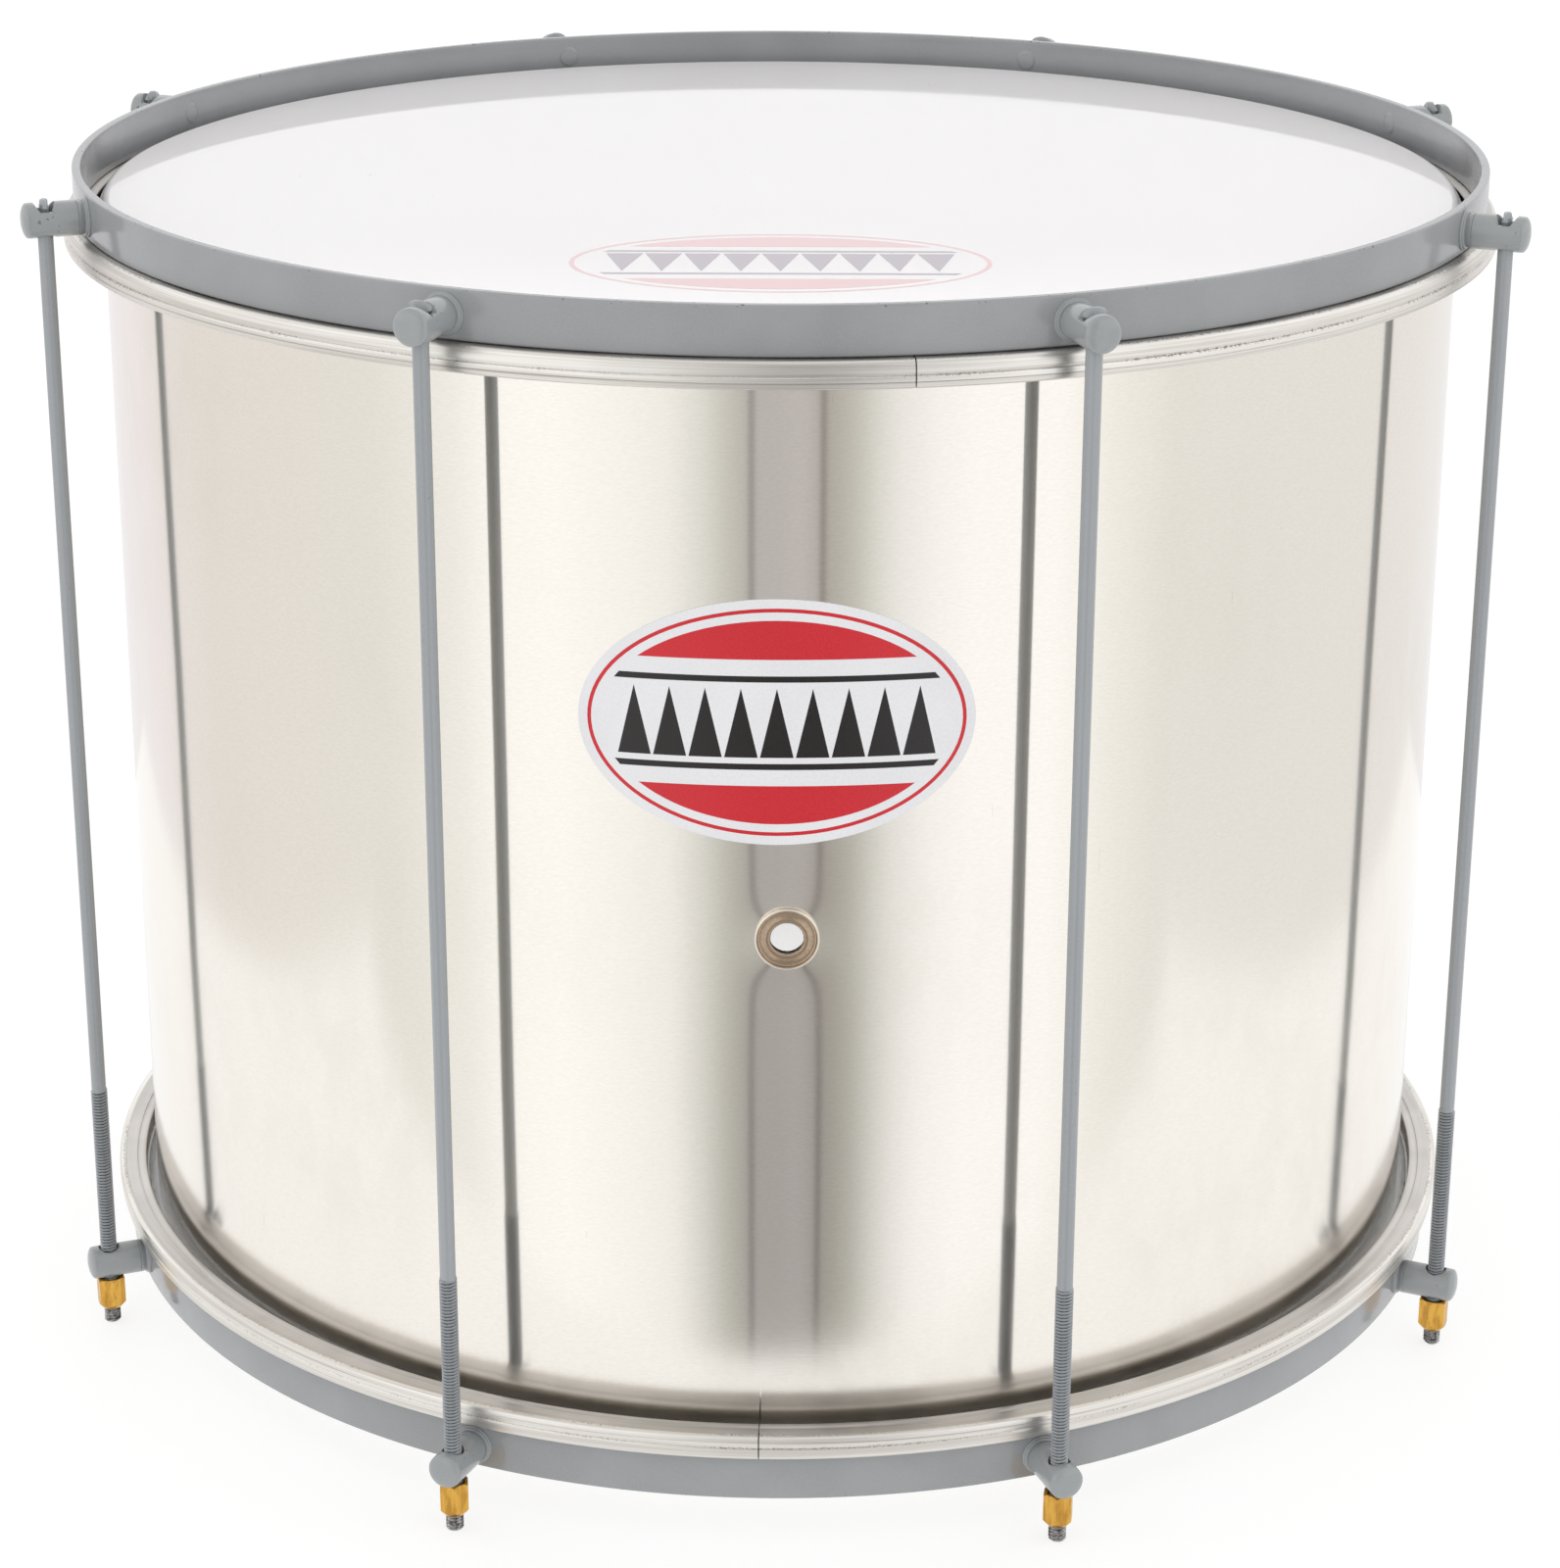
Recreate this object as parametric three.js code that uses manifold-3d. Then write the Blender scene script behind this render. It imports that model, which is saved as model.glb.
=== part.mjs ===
// Surdo: a two-headed bass drum with a rolled aluminium shell, plastic film heads in aluminium
// flesh hoops, two flat steel counterhoops and eight through rods tuned by brass nuts.
// Units are millimetres, +Z is up. The origin is the middle of the base, level with the tips
// of the eight rods, which is what the drum stands on. The vent and the badge face -Y.

import * as THREE from 'three';
import { mergeVertices } from 'three/addons/utils/BufferGeometryUtils.js';
import Module from 'manifold-3d';

const wasm = await Module();
wasm.setup();

// Clearances
const SEAT_GAP = 0.25;           // between pieces that rest on each other
const RUNNING_CLEARANCE = 0.12;  // radial, between a nut and its thread
const CUT_OVERRUN = 5;           // how far a cutter runs past what it cuts

// Shell
const SHELL_DIAMETER = 508;
const SHELL_HEIGHT = 405;
const SHELL_WALL = 1.2;
const SHELL_EDGE_RADIUS = 3;     // outside radius of the rolled-in bearing edge
const SHELL_LIP_LENGTH = 2;      // flat lip inside the bearing edge

// Drumheads
const FILM_THICKNESS = 0.35;
const FILM_TAIL_GAP = 1.5;       // film's turned-down edge to the floor of its flesh hoop
const HEAD_RECESS = 11.4;        // from the counterhoop's free edge to the film

// Flesh hoops: a square channel, slotted towards the shell, closed by a butt seam
const FLESH_SHELL_GAP = 6.2;
const FLESH_WIDTH = 9.2;
const FLESH_HEIGHT = 9.4;
const FLESH_WALL = 1.3;
const FLESH_SLOT = 1.8;
const FLESH_CHAMFER = 1.2;
const FLESH_GROOVE_DEPTH = 0.5;
const FLESH_GROOVE_WIDTH = 1;
const FLESH_GROOVE_SETBACK = 3.1;  // groove to the channel face that is away from the head
const FLESH_SEAM_GAP = 0.4;
const TOP_SEAM_BEARING = -82.1;    // degrees, about +Z from +X
const BOTTOM_SEAM_BEARING = -89.7;

// Counterhoops: flat bar on edge
const HOOP_SETBACK = 1.1;        // inside of the counterhoop from the inside of the flesh hoop
const HOOP_THICKNESS = 3.3;
const HOOP_MARGIN = 2.15;        // counterhoop's edge past the side of a lug
const HOOP_EDGE_CHAMFER = 0.6;

// Lugs: turned studs riveted through the counterhoops
const LUG_COUNT = 8;
const LUG_DIAMETER = 12.7;
const LUG_NOSE = 8.4;            // rod centre to lug end
const LUG_END_CHAMFER = 1.5;
const LUG_SHANK_DIAMETER = 7.4;
const LUG_SHANK_PROUD = 0.4;     // riveted end, inside the counterhoop
const LUG_FLANGE_LIP = 1.05;     // flange past the side of the lug
const LUG_FLANGE_THICKNESS = 1.2;
const NOTCH_DEPTH = 2;           // seat of the rod's blade, across the top of an upper lug
const NOTCH_FLARE = 1.75;        // how far each of its sides slopes out

// Tension rods
const ROD_OFFSET = 15.1;         // counterhoop to rod centre
const ROD_CLEARANCE = 1.05;      // lug bore over thread diameter
const THREAD_DIAMETER = 6.35;
const THREAD_LENGTH = 100;
const THREAD_RUNOUT = 0.8;
const ROD_REDUCTION = 0.75;      // thread diameter over the plain rod's
const TIP_CHAMFER = 0.7;
const TIP_PROJECTION = 5;        // rod tip below its nut
const BLADE_WIDTH = 9;
const BLADE_THICKNESS = 3;
const BLADE_HEIGHT = 3;          // above its seat in the notch
const BLADE_CORNER = 1.5;
const BLADE_NECK_LENGTH = 6;

// Tuning nuts
const NUT_SIDES = 6;
const NUT_WALL = 1.8;            // thread to the middle of a flat
const NUT_LENGTH = 14.4;
const NUT_CHAMFER = 1.4;

// Vent eyelet and its back washer
const VENT_BEARING = -87.7;      // degrees, about +Z from +X
const VENT_RISE = 197.5;         // shell's lower edge to vent centre
const VENT_BORE = 11.1;
const VENT_WALL = 0.8;
const VENT_FLANGE_WIDTH = 4.65;   // barrel to flange edge
const VENT_FLANGE_THICKNESS = 0.8;
const VENT_RIM_HEIGHT = 1.5;
const VENT_RIM_WIDTH = 0.9;
const VENT_COLLAR_WIDTH = 1.5;
const VENT_CURL = 1.3;           // how far the clinched end turns out over the washer
const WASHER_WIDTH = 3.4;
const WASHER_THICKNESS = 0.8;

// Badge: an oval printed sticker
const BADGE_BEARING = -88.5;     // degrees, about +Z from +X
const BADGE_ABOVE_VENT = 76.5;   // vent centre to badge centre
const BADGE_WIDTH = 134;
const BADGE_HEIGHT = 86;
const BADGE_THICKNESS = 0.3;

// Facets
const SIDES_PER_LUG = 6;
const RING_SIDES = LUG_COUNT * SIDES_PER_LUG;
const LUG_SIDES = 16;
const ROD_SIDES = 12;
const VENT_SIDES = 20;
const BADGE_POINTS = 32;
const EDGE_STEPS = 3;

// A ring's flats lie this share of its radius from the axis
const ringFlatShare = Math.cos(Math.PI / RING_SIDES);
const lugBearing = (i) => (2 * Math.PI * (i + 0.5)) / LUG_COUNT;

// Radii
const shellRadius = SHELL_DIAMETER / 2;
const shellInnerRadius = shellRadius - SHELL_WALL;
const fleshInnerRadius = shellRadius + FLESH_SHELL_GAP;
const fleshOuterRadius = fleshInnerRadius + FLESH_WIDTH;
const filmTailR = fleshInnerRadius + FLESH_WALL + SEAT_GAP;
const hoopInnerRadius = fleshInnerRadius + HOOP_SETBACK;
const hoopOuterRadius = hoopInnerRadius + HOOP_THICKNESS;
const rodCircleRadius = hoopOuterRadius + ROD_OFFSET;
const lugRadius = LUG_DIAMETER / 2;
const threadRadius = THREAD_DIAMETER / 2;
const rodRadius = threadRadius - ROD_REDUCTION / 2;
const lugBoreRadius = threadRadius + ROD_CLEARANCE / 2;
const lugBoreFlat = lugBoreRadius * Math.cos(Math.PI / ROD_SIDES);
const ventHoleRadius = VENT_BORE / 2 + VENT_WALL + SEAT_GAP;

// Heights, from the rod tips up
const nutBottomZ = TIP_PROJECTION;
const lowLugZ = nutBottomZ + NUT_LENGTH + SEAT_GAP + lugRadius;
const hoopHeight = LUG_DIAMETER + 2 * HOOP_MARGIN;
const lowHoopEdgeZ = lowLugZ - hoopHeight / 2;
const filmStack = SEAT_GAP + FILM_THICKNESS;
const shellBottomZ = lowHoopEdgeZ + HEAD_RECESS + filmStack;
const shellTopZ = shellBottomZ + SHELL_HEIGHT;

// Heights above the shell's end, for the pieces of one head
const hoopEdgeRise = filmStack + HEAD_RECESS;
const hoopSeatRise = hoopEdgeRise - hoopHeight;
const lugRise = hoopEdgeRise - hoopHeight / 2;
const fleshTopRise = hoopSeatRise - SEAT_GAP;
const fleshBottomRise = fleshTopRise - FLESH_HEIGHT;
const fleshFloorRise = fleshBottomRise + FLESH_WALL;
const slotRise = fleshTopRise - FLESH_WALL - FLESH_SLOT / 2;
const bladeSeatZ = shellTopZ + lugRise + lugRadius - NOTCH_DEPTH + SEAT_GAP;

// Colours and finishes
const finish = (color, roughness, metalness) =>
  new THREE.MeshStandardMaterial({ color, roughness, metalness, flatShading: true });
const brushedAluminium = () => finish(0xcfcbc0, 0.28, 1);
const channelAluminium = () => finish(0xc4c1bb, 0.38, 1);
const milkyFilm = () => finish(0xf2f0ef, 0.16, 0);
const lockPlastic = () => finish(0x3a3a3c, 0.6, 0);
const greyPaint = () => finish(0x8b9093, 0.42, 0.1);
const brass = () => finish(0xc8902c, 0.35, 1);
const nickel = () => finish(0xb5a48c, 0.3, 1);
const vinyl = () => finish(0xe9e9ec, 0.25, 0);

// Closes a geometry: shared vertices are merged and triangles without area are dropped
function closed(geometry) {
  const bare = geometry.clone();
  for (const name of Object.keys(bare.attributes)) {
    if (name !== 'position') bare.deleteAttribute(name);
  }
  bare.clearGroups();
  const merged = mergeVertices(bare);
  const kept = [];
  const source = merged.index.array;
  for (let i = 0; i < source.length; i += 3) {
    const [a, b, c] = [source[i], source[i + 1], source[i + 2]];
    if (a !== b && b !== c && c !== a) kept.push(a, b, c);
  }
  merged.setIndex(kept);
  return merged;
}

function toManifold(geometry) {
  const shape = closed(geometry);
  return new wasm.Manifold(new wasm.Mesh({
    numProp: 3,
    vertProperties: new Float32Array(shape.attributes.position.array),
    triVerts: new Uint32Array(shape.index.array),
  }));
}

function fromManifold(solid) {
  const mesh = solid.getMesh();
  const geometry = new THREE.BufferGeometry();
  const vertices = new Float32Array(mesh.vertProperties);
  geometry.setAttribute('position', new THREE.BufferAttribute(vertices, 3));
  geometry.setIndex([...mesh.triVerts]);
  return geometry;
}

const cut = (geometry, ...cutters) =>
  fromManifold(cutters.reduce((solid, c) => solid.subtract(toManifold(c)), toManifold(geometry)));

// Turns a profile of [radius, height] points, counter-clockwise, about the Z axis
function turned(profile, sides, firstCorner = 0) {
  const points = profile.map(([r, z]) => new THREE.Vector2(r, z));
  const lathe = new THREE.LatheGeometry(points, sides, firstCorner + Math.PI / 2);
  return lathe.rotateX(Math.PI / 2);
}

// A large ring, with the middle of one flat behind every lug
const ring = (profile) => turned(profile, RING_SIDES, lugBearing(0) - Math.PI / RING_SIDES);
const looped = (profile) => [...profile, profile[0]];

// A plain round bar on the Z axis, which also serves as a drill
const roundBar = (radius, fromZ, toZ, sides) =>
  turned([[0, fromZ], [radius, fromZ], [radius, toZ], [0, toZ]], sides);

// Points of an arc in a profile, from one angle to another
function arc(centerR, centerZ, radius, from, to, steps) {
  const points = [];
  for (let i = 0; i <= steps; i += 1) {
    const angle = from + ((to - from) * i) / steps;
    points.push([centerR + radius * Math.cos(angle), centerZ + radius * Math.sin(angle)]);
  }
  return points;
}

// A box along X through the origin's height, turned to a bearing about Z
function radialBox(fromR, toR, width, bottomZ, topZ, bearing) {
  const box = new THREE.BoxGeometry(toR - fromR, width, topZ - bottomZ);
  box.translate((fromR + toR) / 2, 0, (bottomZ + topZ) / 2);
  return box.rotateZ(bearing);
}

// Shell, with its lower edge at z = 0
function shellGeometry() {
  const cornerR = shellRadius - SHELL_EDGE_RADIUS;
  const lipR = cornerR - SHELL_LIP_LENGTH;
  const innerEdgeRadius = SHELL_EDGE_RADIUS - SHELL_WALL;
  const quarter = Math.PI / 2;
  const lowCornerZ = SHELL_EDGE_RADIUS;
  const highCornerZ = SHELL_HEIGHT - SHELL_EDGE_RADIUS;
  const wall = ring(looped([
    [lipR, 0],
    ...arc(cornerR, lowCornerZ, SHELL_EDGE_RADIUS, -quarter, 0, EDGE_STEPS),
    ...arc(cornerR, highCornerZ, SHELL_EDGE_RADIUS, 0, quarter, EDGE_STEPS),
    [lipR, SHELL_HEIGHT],
    [lipR, SHELL_HEIGHT - SHELL_WALL],
    ...arc(cornerR, highCornerZ, innerEdgeRadius, quarter, 0, 1),
    ...arc(cornerR, lowCornerZ, innerEdgeRadius, 0, -quarter, 1),
    [lipR, SHELL_WALL],
  ]));
  const drill = roundBar(
    ventHoleRadius,
    shellInnerRadius - CUT_OVERRUN,
    shellRadius + CUT_OVERRUN,
    VENT_SIDES,
  );
  return cut(wall, pointed(drill, VENT_BEARING, VENT_RISE));
}

// Lays a shape that was turned about Z along a bearing, in degrees, at a height
function pointed(geometry, bearing, height) {
  geometry.rotateY(Math.PI / 2);
  geometry.rotateZ(THREE.MathUtils.degToRad(bearing));
  return geometry.translate(0, 0, height);
}

// The pieces of one head, with the shell's end at z = 0 and the drum below it.
// The film lies flat, bends over the shell's edge, runs down to the flesh hoop's slot,
// goes in and turns down behind the locking ring.
function filmGeometry() {
  const half = FILM_THICKNESS / 2;
  const bendR = shellRadius - SHELL_EDGE_RADIUS;
  const bendZ = -SHELL_EDGE_RADIUS;
  const bendRadius = SHELL_EDGE_RADIUS + SEAT_GAP + half;
  const entryR = fleshInnerRadius - SEAT_GAP - half;
  const tailR = filmTailR + half;
  const towardsEntry = Math.atan2(slotRise - bendZ, entryR - bendR);
  const distance = Math.hypot(slotRise - bendZ, entryR - bendR);
  const leave = towardsEntry + Math.acos(bendRadius / distance);
  const path = [
    ...arc(bendR, bendZ, bendRadius, Math.PI / 2, leave, 2),
    [entryR, slotRise],
    [tailR, slotRise],
    [tailR, fleshFloorRise + FILM_TAIL_GAP],
  ];
  const edge = (side) => path.map((point, i) => {
    const before = path[Math.max(i - 1, 0)];
    const after = path[Math.min(i + 1, path.length - 1)];
    const into = i === 0 ? [1, 0] : unit(before, point);
    const out = i === path.length - 1 ? into : unit(point, after);
    const normal = [-(into[1] + out[1]), into[0] + out[0]];
    const squeeze = 2 / (normal[0] ** 2 + normal[1] ** 2);
    return [point[0] + side * normal[0] * squeeze, point[1] + side * normal[1] * squeeze];
  });
  const upper = edge(half);
  const lower = edge(-half);
  return ring([[0, lower[0][1]], ...lower, ...upper.reverse(), [0, path[0][1] + half]]);
}

function unit([r0, z0], [r1, z1]) {
  const length = Math.hypot(r1 - r0, z1 - z0);
  return [(r1 - r0) / length, (z1 - z0) / length];
}

function fleshHoopGeometry(seamBearing) {
  const cavityInnerR = fleshInnerRadius + FLESH_WALL;
  const cavityOuterR = fleshOuterRadius - FLESH_WALL;
  const slotTop = fleshTopRise - FLESH_WALL;
  const slotBottom = slotTop - FLESH_SLOT;
  const grooveZ = fleshBottomRise + FLESH_GROOVE_SETBACK;
  const channel = ring(looped([
    [fleshInnerRadius, fleshBottomRise],
    [fleshOuterRadius, fleshBottomRise],
    [fleshOuterRadius, grooveZ - FLESH_GROOVE_WIDTH / 2],
    [fleshOuterRadius - FLESH_GROOVE_DEPTH, grooveZ],
    [fleshOuterRadius, grooveZ + FLESH_GROOVE_WIDTH / 2],
    [fleshOuterRadius, fleshTopRise - FLESH_CHAMFER],
    [fleshOuterRadius - FLESH_CHAMFER, fleshTopRise],
    [fleshInnerRadius, fleshTopRise],
    [fleshInnerRadius, slotTop],
    [cavityOuterR, slotTop],
    [cavityOuterR, fleshFloorRise],
    [cavityInnerR, fleshFloorRise],
    [cavityInnerR, slotBottom],
    [fleshInnerRadius, slotBottom],
  ]));
  const saw = radialBox(
    fleshInnerRadius - CUT_OVERRUN,
    fleshOuterRadius + CUT_OVERRUN,
    FLESH_SEAM_GAP,
    fleshBottomRise - CUT_OVERRUN,
    fleshTopRise + CUT_OVERRUN,
    THREE.MathUtils.degToRad(seamBearing),
  );
  return cut(channel, saw);
}

function lockRingGeometry() {
  const innerR = filmTailR + FILM_THICKNESS + SEAT_GAP;
  const outerR = fleshOuterRadius - FLESH_WALL - SEAT_GAP;
  const bottom = fleshFloorRise + SEAT_GAP;
  const top = slotRise - FILM_THICKNESS / 2 - SEAT_GAP;
  return ring(looped([[innerR, bottom], [outerR, bottom], [outerR, top], [innerR, top]]));
}

function counterhoopGeometry() {
  const chamfer = HOOP_EDGE_CHAMFER;
  const bar = ring(looped([
    [hoopInnerRadius + chamfer, hoopSeatRise],
    [hoopOuterRadius - chamfer, hoopSeatRise],
    [hoopOuterRadius, hoopSeatRise + chamfer],
    [hoopOuterRadius, hoopEdgeRise - chamfer],
    [hoopOuterRadius - chamfer, hoopEdgeRise],
    [hoopInnerRadius + chamfer, hoopEdgeRise],
    [hoopInnerRadius, hoopEdgeRise - chamfer],
    [hoopInnerRadius, hoopSeatRise + chamfer],
  ]));
  const holes = [];
  const holeRadius = LUG_SHANK_DIAMETER / 2 + SEAT_GAP;
  for (let i = 0; i < LUG_COUNT; i += 1) {
    const drill = roundBar(
      holeRadius,
      hoopInnerRadius - CUT_OVERRUN,
      hoopOuterRadius + CUT_OVERRUN,
      ROD_SIDES,
    );
    holes.push(pointed(drill, THREE.MathUtils.radToDeg(lugBearing(i)), lugRise));
  }
  return cut(bar, ...holes);
}

// Lug, with its axis along +X, the drum's axis at x = 0 and the rod hole along Z.
// An upper lug also has the notch that stops its rod from turning with the nut.
function lugGeometry(notched) {
  const riveted = hoopInnerRadius * ringFlatShare - LUG_SHANK_PROUD;
  const base = hoopOuterRadius * ringFlatShare + SEAT_GAP;
  const end = rodCircleRadius + LUG_NOSE;
  const shankRadius = LUG_SHANK_DIAMETER / 2;
  const flangeRadius = lugRadius + LUG_FLANGE_LIP;
  const stud = turned([
    [0, riveted],
    [shankRadius, riveted],
    [shankRadius, base],
    [flangeRadius, base],
    [flangeRadius, base + LUG_FLANGE_THICKNESS / 2],
    [lugRadius, base + LUG_FLANGE_THICKNESS],
    [lugRadius, end - LUG_END_CHAMFER],
    [lugRadius - LUG_END_CHAMFER, end],
    [0, end],
  ], LUG_SIDES, Math.PI / LUG_SIDES);
  stud.rotateY(Math.PI / 2);
  const reach = lugRadius + CUT_OVERRUN;
  const bore = roundBar(lugBoreRadius, -reach, reach, ROD_SIDES).translate(rodCircleRadius, 0, 0);
  return notched ? cut(stud, bore, notchCutter()) : cut(stud, bore);
}

function notchCutter() {
  const half = BLADE_THICKNESS / 2 + SEAT_GAP;
  const slopeShare = NOTCH_FLARE / NOTCH_DEPTH;
  const floor = lugRadius - NOTCH_DEPTH;
  const top = lugRadius + CUT_OVERRUN;
  const topHalf = half + (top - floor) * slopeShare;
  const outline = new THREE.Shape();
  outline.moveTo(rodCircleRadius - half, floor);
  outline.lineTo(rodCircleRadius + half, floor);
  outline.lineTo(rodCircleRadius + topHalf, top);
  outline.lineTo(rodCircleRadius - topHalf, top);
  const length = LUG_DIAMETER + 2 * CUT_OVERRUN;
  const cutter = new THREE.ExtrudeGeometry(outline, { depth: length, bevelEnabled: false });
  return cutter.rotateX(Math.PI / 2).translate(0, length / 2, 0);
}

// Rod on the Z axis with its tip at z = 0. The thread is drawn at its major diameter.
function rodGeometry() {
  const neckZ = bladeSeatZ - BLADE_NECK_LENGTH;
  const round = turned([
    [0, 0],
    [threadRadius - TIP_CHAMFER, 0],
    [threadRadius, TIP_CHAMFER],
    [threadRadius, THREAD_LENGTH - THREAD_RUNOUT],
    [rodRadius, THREAD_LENGTH],
    [rodRadius, neckZ],
    [BLADE_THICKNESS / 2, bladeSeatZ],
    [0, bladeSeatZ],
  ], ROD_SIDES);
  const neckReach = lugBoreFlat - RUNNING_CLEARANCE;
  const neckHalf = Math.sqrt(neckReach ** 2 - (BLADE_THICKNESS / 2) ** 2);
  const half = BLADE_WIDTH / 2;
  const topZ = bladeSeatZ + BLADE_HEIGHT;
  const outline = new THREE.Shape();
  outline.moveTo(-rodRadius, neckZ);
  outline.lineTo(rodRadius, neckZ);
  outline.lineTo(neckHalf, bladeSeatZ);
  outline.lineTo(half, bladeSeatZ);
  outline.lineTo(half, topZ - BLADE_CORNER);
  outline.lineTo(half - BLADE_CORNER, topZ);
  outline.lineTo(-half + BLADE_CORNER, topZ);
  outline.lineTo(-half, topZ - BLADE_CORNER);
  outline.lineTo(-half, bladeSeatZ);
  outline.lineTo(-neckHalf, bladeSeatZ);
  const blade = new THREE.ExtrudeGeometry(outline, { depth: BLADE_THICKNESS, bevelEnabled: false });
  blade.translate(0, 0, -BLADE_THICKNESS / 2);
  blade.rotateX(Math.PI / 2);
  blade.rotateZ(Math.PI / 2);
  return fromManifold(toManifold(round).add(toManifold(blade)));
}

// Nut on the Z axis with its lower face at z = 0
function nutGeometry() {
  const cornerRadius = (threadRadius + NUT_WALL) / Math.cos(Math.PI / NUT_SIDES);
  const boreRadius = (threadRadius + RUNNING_CLEARANCE) / Math.cos(Math.PI / ROD_SIDES);
  const hexagon = turned([
    [0, 0],
    [cornerRadius - NUT_CHAMFER, 0],
    [cornerRadius, NUT_CHAMFER],
    [cornerRadius, NUT_LENGTH - NUT_CHAMFER / 2],
    [cornerRadius - NUT_CHAMFER / 2, NUT_LENGTH],
    [0, NUT_LENGTH],
  ], NUT_SIDES);
  return cut(hexagon, roundBar(boreRadius, -CUT_OVERRUN, NUT_LENGTH + CUT_OVERRUN, ROD_SIDES));
}

// Eyelet turned about Z, with heights measured from the drum's axis
const washerFace = shellInnerRadius * ringFlatShare - SEAT_GAP;
function eyeletGeometry() {
  const face = shellRadius + SEAT_GAP;
  const boreRadius = VENT_BORE / 2;
  const barrelRadius = boreRadius + VENT_WALL;
  const flangeRadius = barrelRadius + VENT_FLANGE_WIDTH;
  const collarRadius = barrelRadius + VENT_COLLAR_WIDTH;
  const rimTop = face + VENT_RIM_HEIGHT;
  const dish = face + VENT_FLANGE_THICKNESS;
  const curlTop = washerFace - WASHER_THICKNESS - SEAT_GAP;
  const curlBottom = curlTop - VENT_WALL;
  return turned(looped([
    [boreRadius, curlBottom],
    [barrelRadius + VENT_CURL, curlBottom],
    [barrelRadius + VENT_CURL, curlTop],
    [barrelRadius, curlTop],
    [barrelRadius, face],
    [flangeRadius, face],
    [flangeRadius, rimTop - VENT_RIM_WIDTH / 2],
    [flangeRadius - VENT_RIM_WIDTH / 2, rimTop],
    [flangeRadius - VENT_RIM_WIDTH, dish],
    [collarRadius, dish],
    [barrelRadius, rimTop],
    [boreRadius, dish],
  ]), VENT_SIDES);
}

function washerGeometry() {
  const outerRadius = ventHoleRadius + WASHER_WIDTH;
  return turned(looped([
    [ventHoleRadius, washerFace - WASHER_THICKNESS],
    [outerRadius, washerFace - WASHER_THICKNESS],
    [outerRadius, washerFace],
    [ventHoleRadius, washerFace],
  ]), VENT_SIDES);
}

// Badge: an oval punched from a thin ring that lies on the shell
function badgeGeometry() {
  const innerR = shellRadius + SEAT_GAP;
  const outerR = innerR + BADGE_THICKNESS;
  const low = -BADGE_HEIGHT / 2 - CUT_OVERRUN;
  const high = BADGE_HEIGHT / 2 + CUT_OVERRUN;
  const sheet = ring(looped([[innerR, low], [outerR, low], [outerR, high], [innerR, high]]));
  const oval = new THREE.Shape();
  oval.absellipse(0, 0, BADGE_HEIGHT / 2, BADGE_WIDTH / 2, 0, 2 * Math.PI, false, 0);
  const punch = new THREE.ExtrudeGeometry(oval, {
    depth: shellRadius + CUT_OVERRUN,
    bevelEnabled: false,
    curveSegments: BADGE_POINTS,
  });
  const tool = pointed(punch, BADGE_BEARING, 0);
  return fromManifold(toManifold(sheet).intersect(toManifold(tool)));
}

function piece(name, geometry, material) {
  const mesh = new THREE.Mesh(geometry, material);
  mesh.name = name;
  return mesh;
}

// One head's pieces. The lower head is the upper one turned over about X.
function headGroup(end, seamBearing) {
  const group = new THREE.Group();
  group.add(
    piece(`${end}_head_film`, closed(filmGeometry()), milkyFilm()),
    piece(`${end}_flesh_hoop`, fleshHoopGeometry(seamBearing), channelAluminium()),
    piece(`${end}_lock_ring`, closed(lockRingGeometry()), lockPlastic()),
    piece(`${end}_counterhoop`, counterhoopGeometry(), greyPaint()),
  );
  return group;
}

// Everything that repeats at one rod: two lugs, the rod and its nut
function rodGroup(i) {
  const group = new THREE.Group();
  group.rotation.z = lugBearing(i);
  const number = i + 1;
  const topLug = piece(`top_lug_${number}`, lugGeometry(true), greyPaint());
  topLug.position.z = shellTopZ + lugRise;
  const bottomLug = piece(`bottom_lug_${number}`, lugGeometry(false), greyPaint());
  bottomLug.position.z = lowLugZ;
  const rod = piece(`tension_rod_${number}`, rodGeometry(), greyPaint());
  rod.position.x = rodCircleRadius;
  const nut = piece(`tuning_nut_${number}`, nutGeometry(), brass());
  nut.position.set(rodCircleRadius, 0, nutBottomZ);
  group.add(topLug, bottomLug, rod, nut);
  return group;
}

const surdo = new THREE.Group();

const atVent = (geometry) => closed(pointed(geometry, VENT_BEARING, VENT_RISE));
const shell = piece('shell', shellGeometry(), brushedAluminium());
const eyelet = piece('vent_eyelet', atVent(eyeletGeometry()), nickel());
const washer = piece('vent_washer', atVent(washerGeometry()), nickel());
const badge = piece('badge', badgeGeometry(), vinyl());
badge.position.z = VENT_RISE + BADGE_ABOVE_VENT;
const body = new THREE.Group();
body.position.z = shellBottomZ;
body.add(shell, eyelet, washer, badge);

const topHead = headGroup('top', TOP_SEAM_BEARING);
topHead.position.z = shellTopZ;
const bottomHead = headGroup('bottom', -BOTTOM_SEAM_BEARING);
bottomHead.position.z = shellBottomZ;
bottomHead.rotation.x = Math.PI;

surdo.add(body, topHead, bottomHead);
for (let i = 0; i < LUG_COUNT; i += 1) surdo.add(rodGroup(i));

export default surdo;
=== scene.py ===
"""A surdo: rolled aluminium shell, film heads, steel counterhoops, through rods and brass nuts.

Lengths are in metres. The packed frame gives every place; the settings below give the finish.
The drum's axis is Z, its base is at the rod tips, and the vent and the badge face -Y.
"""

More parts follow.
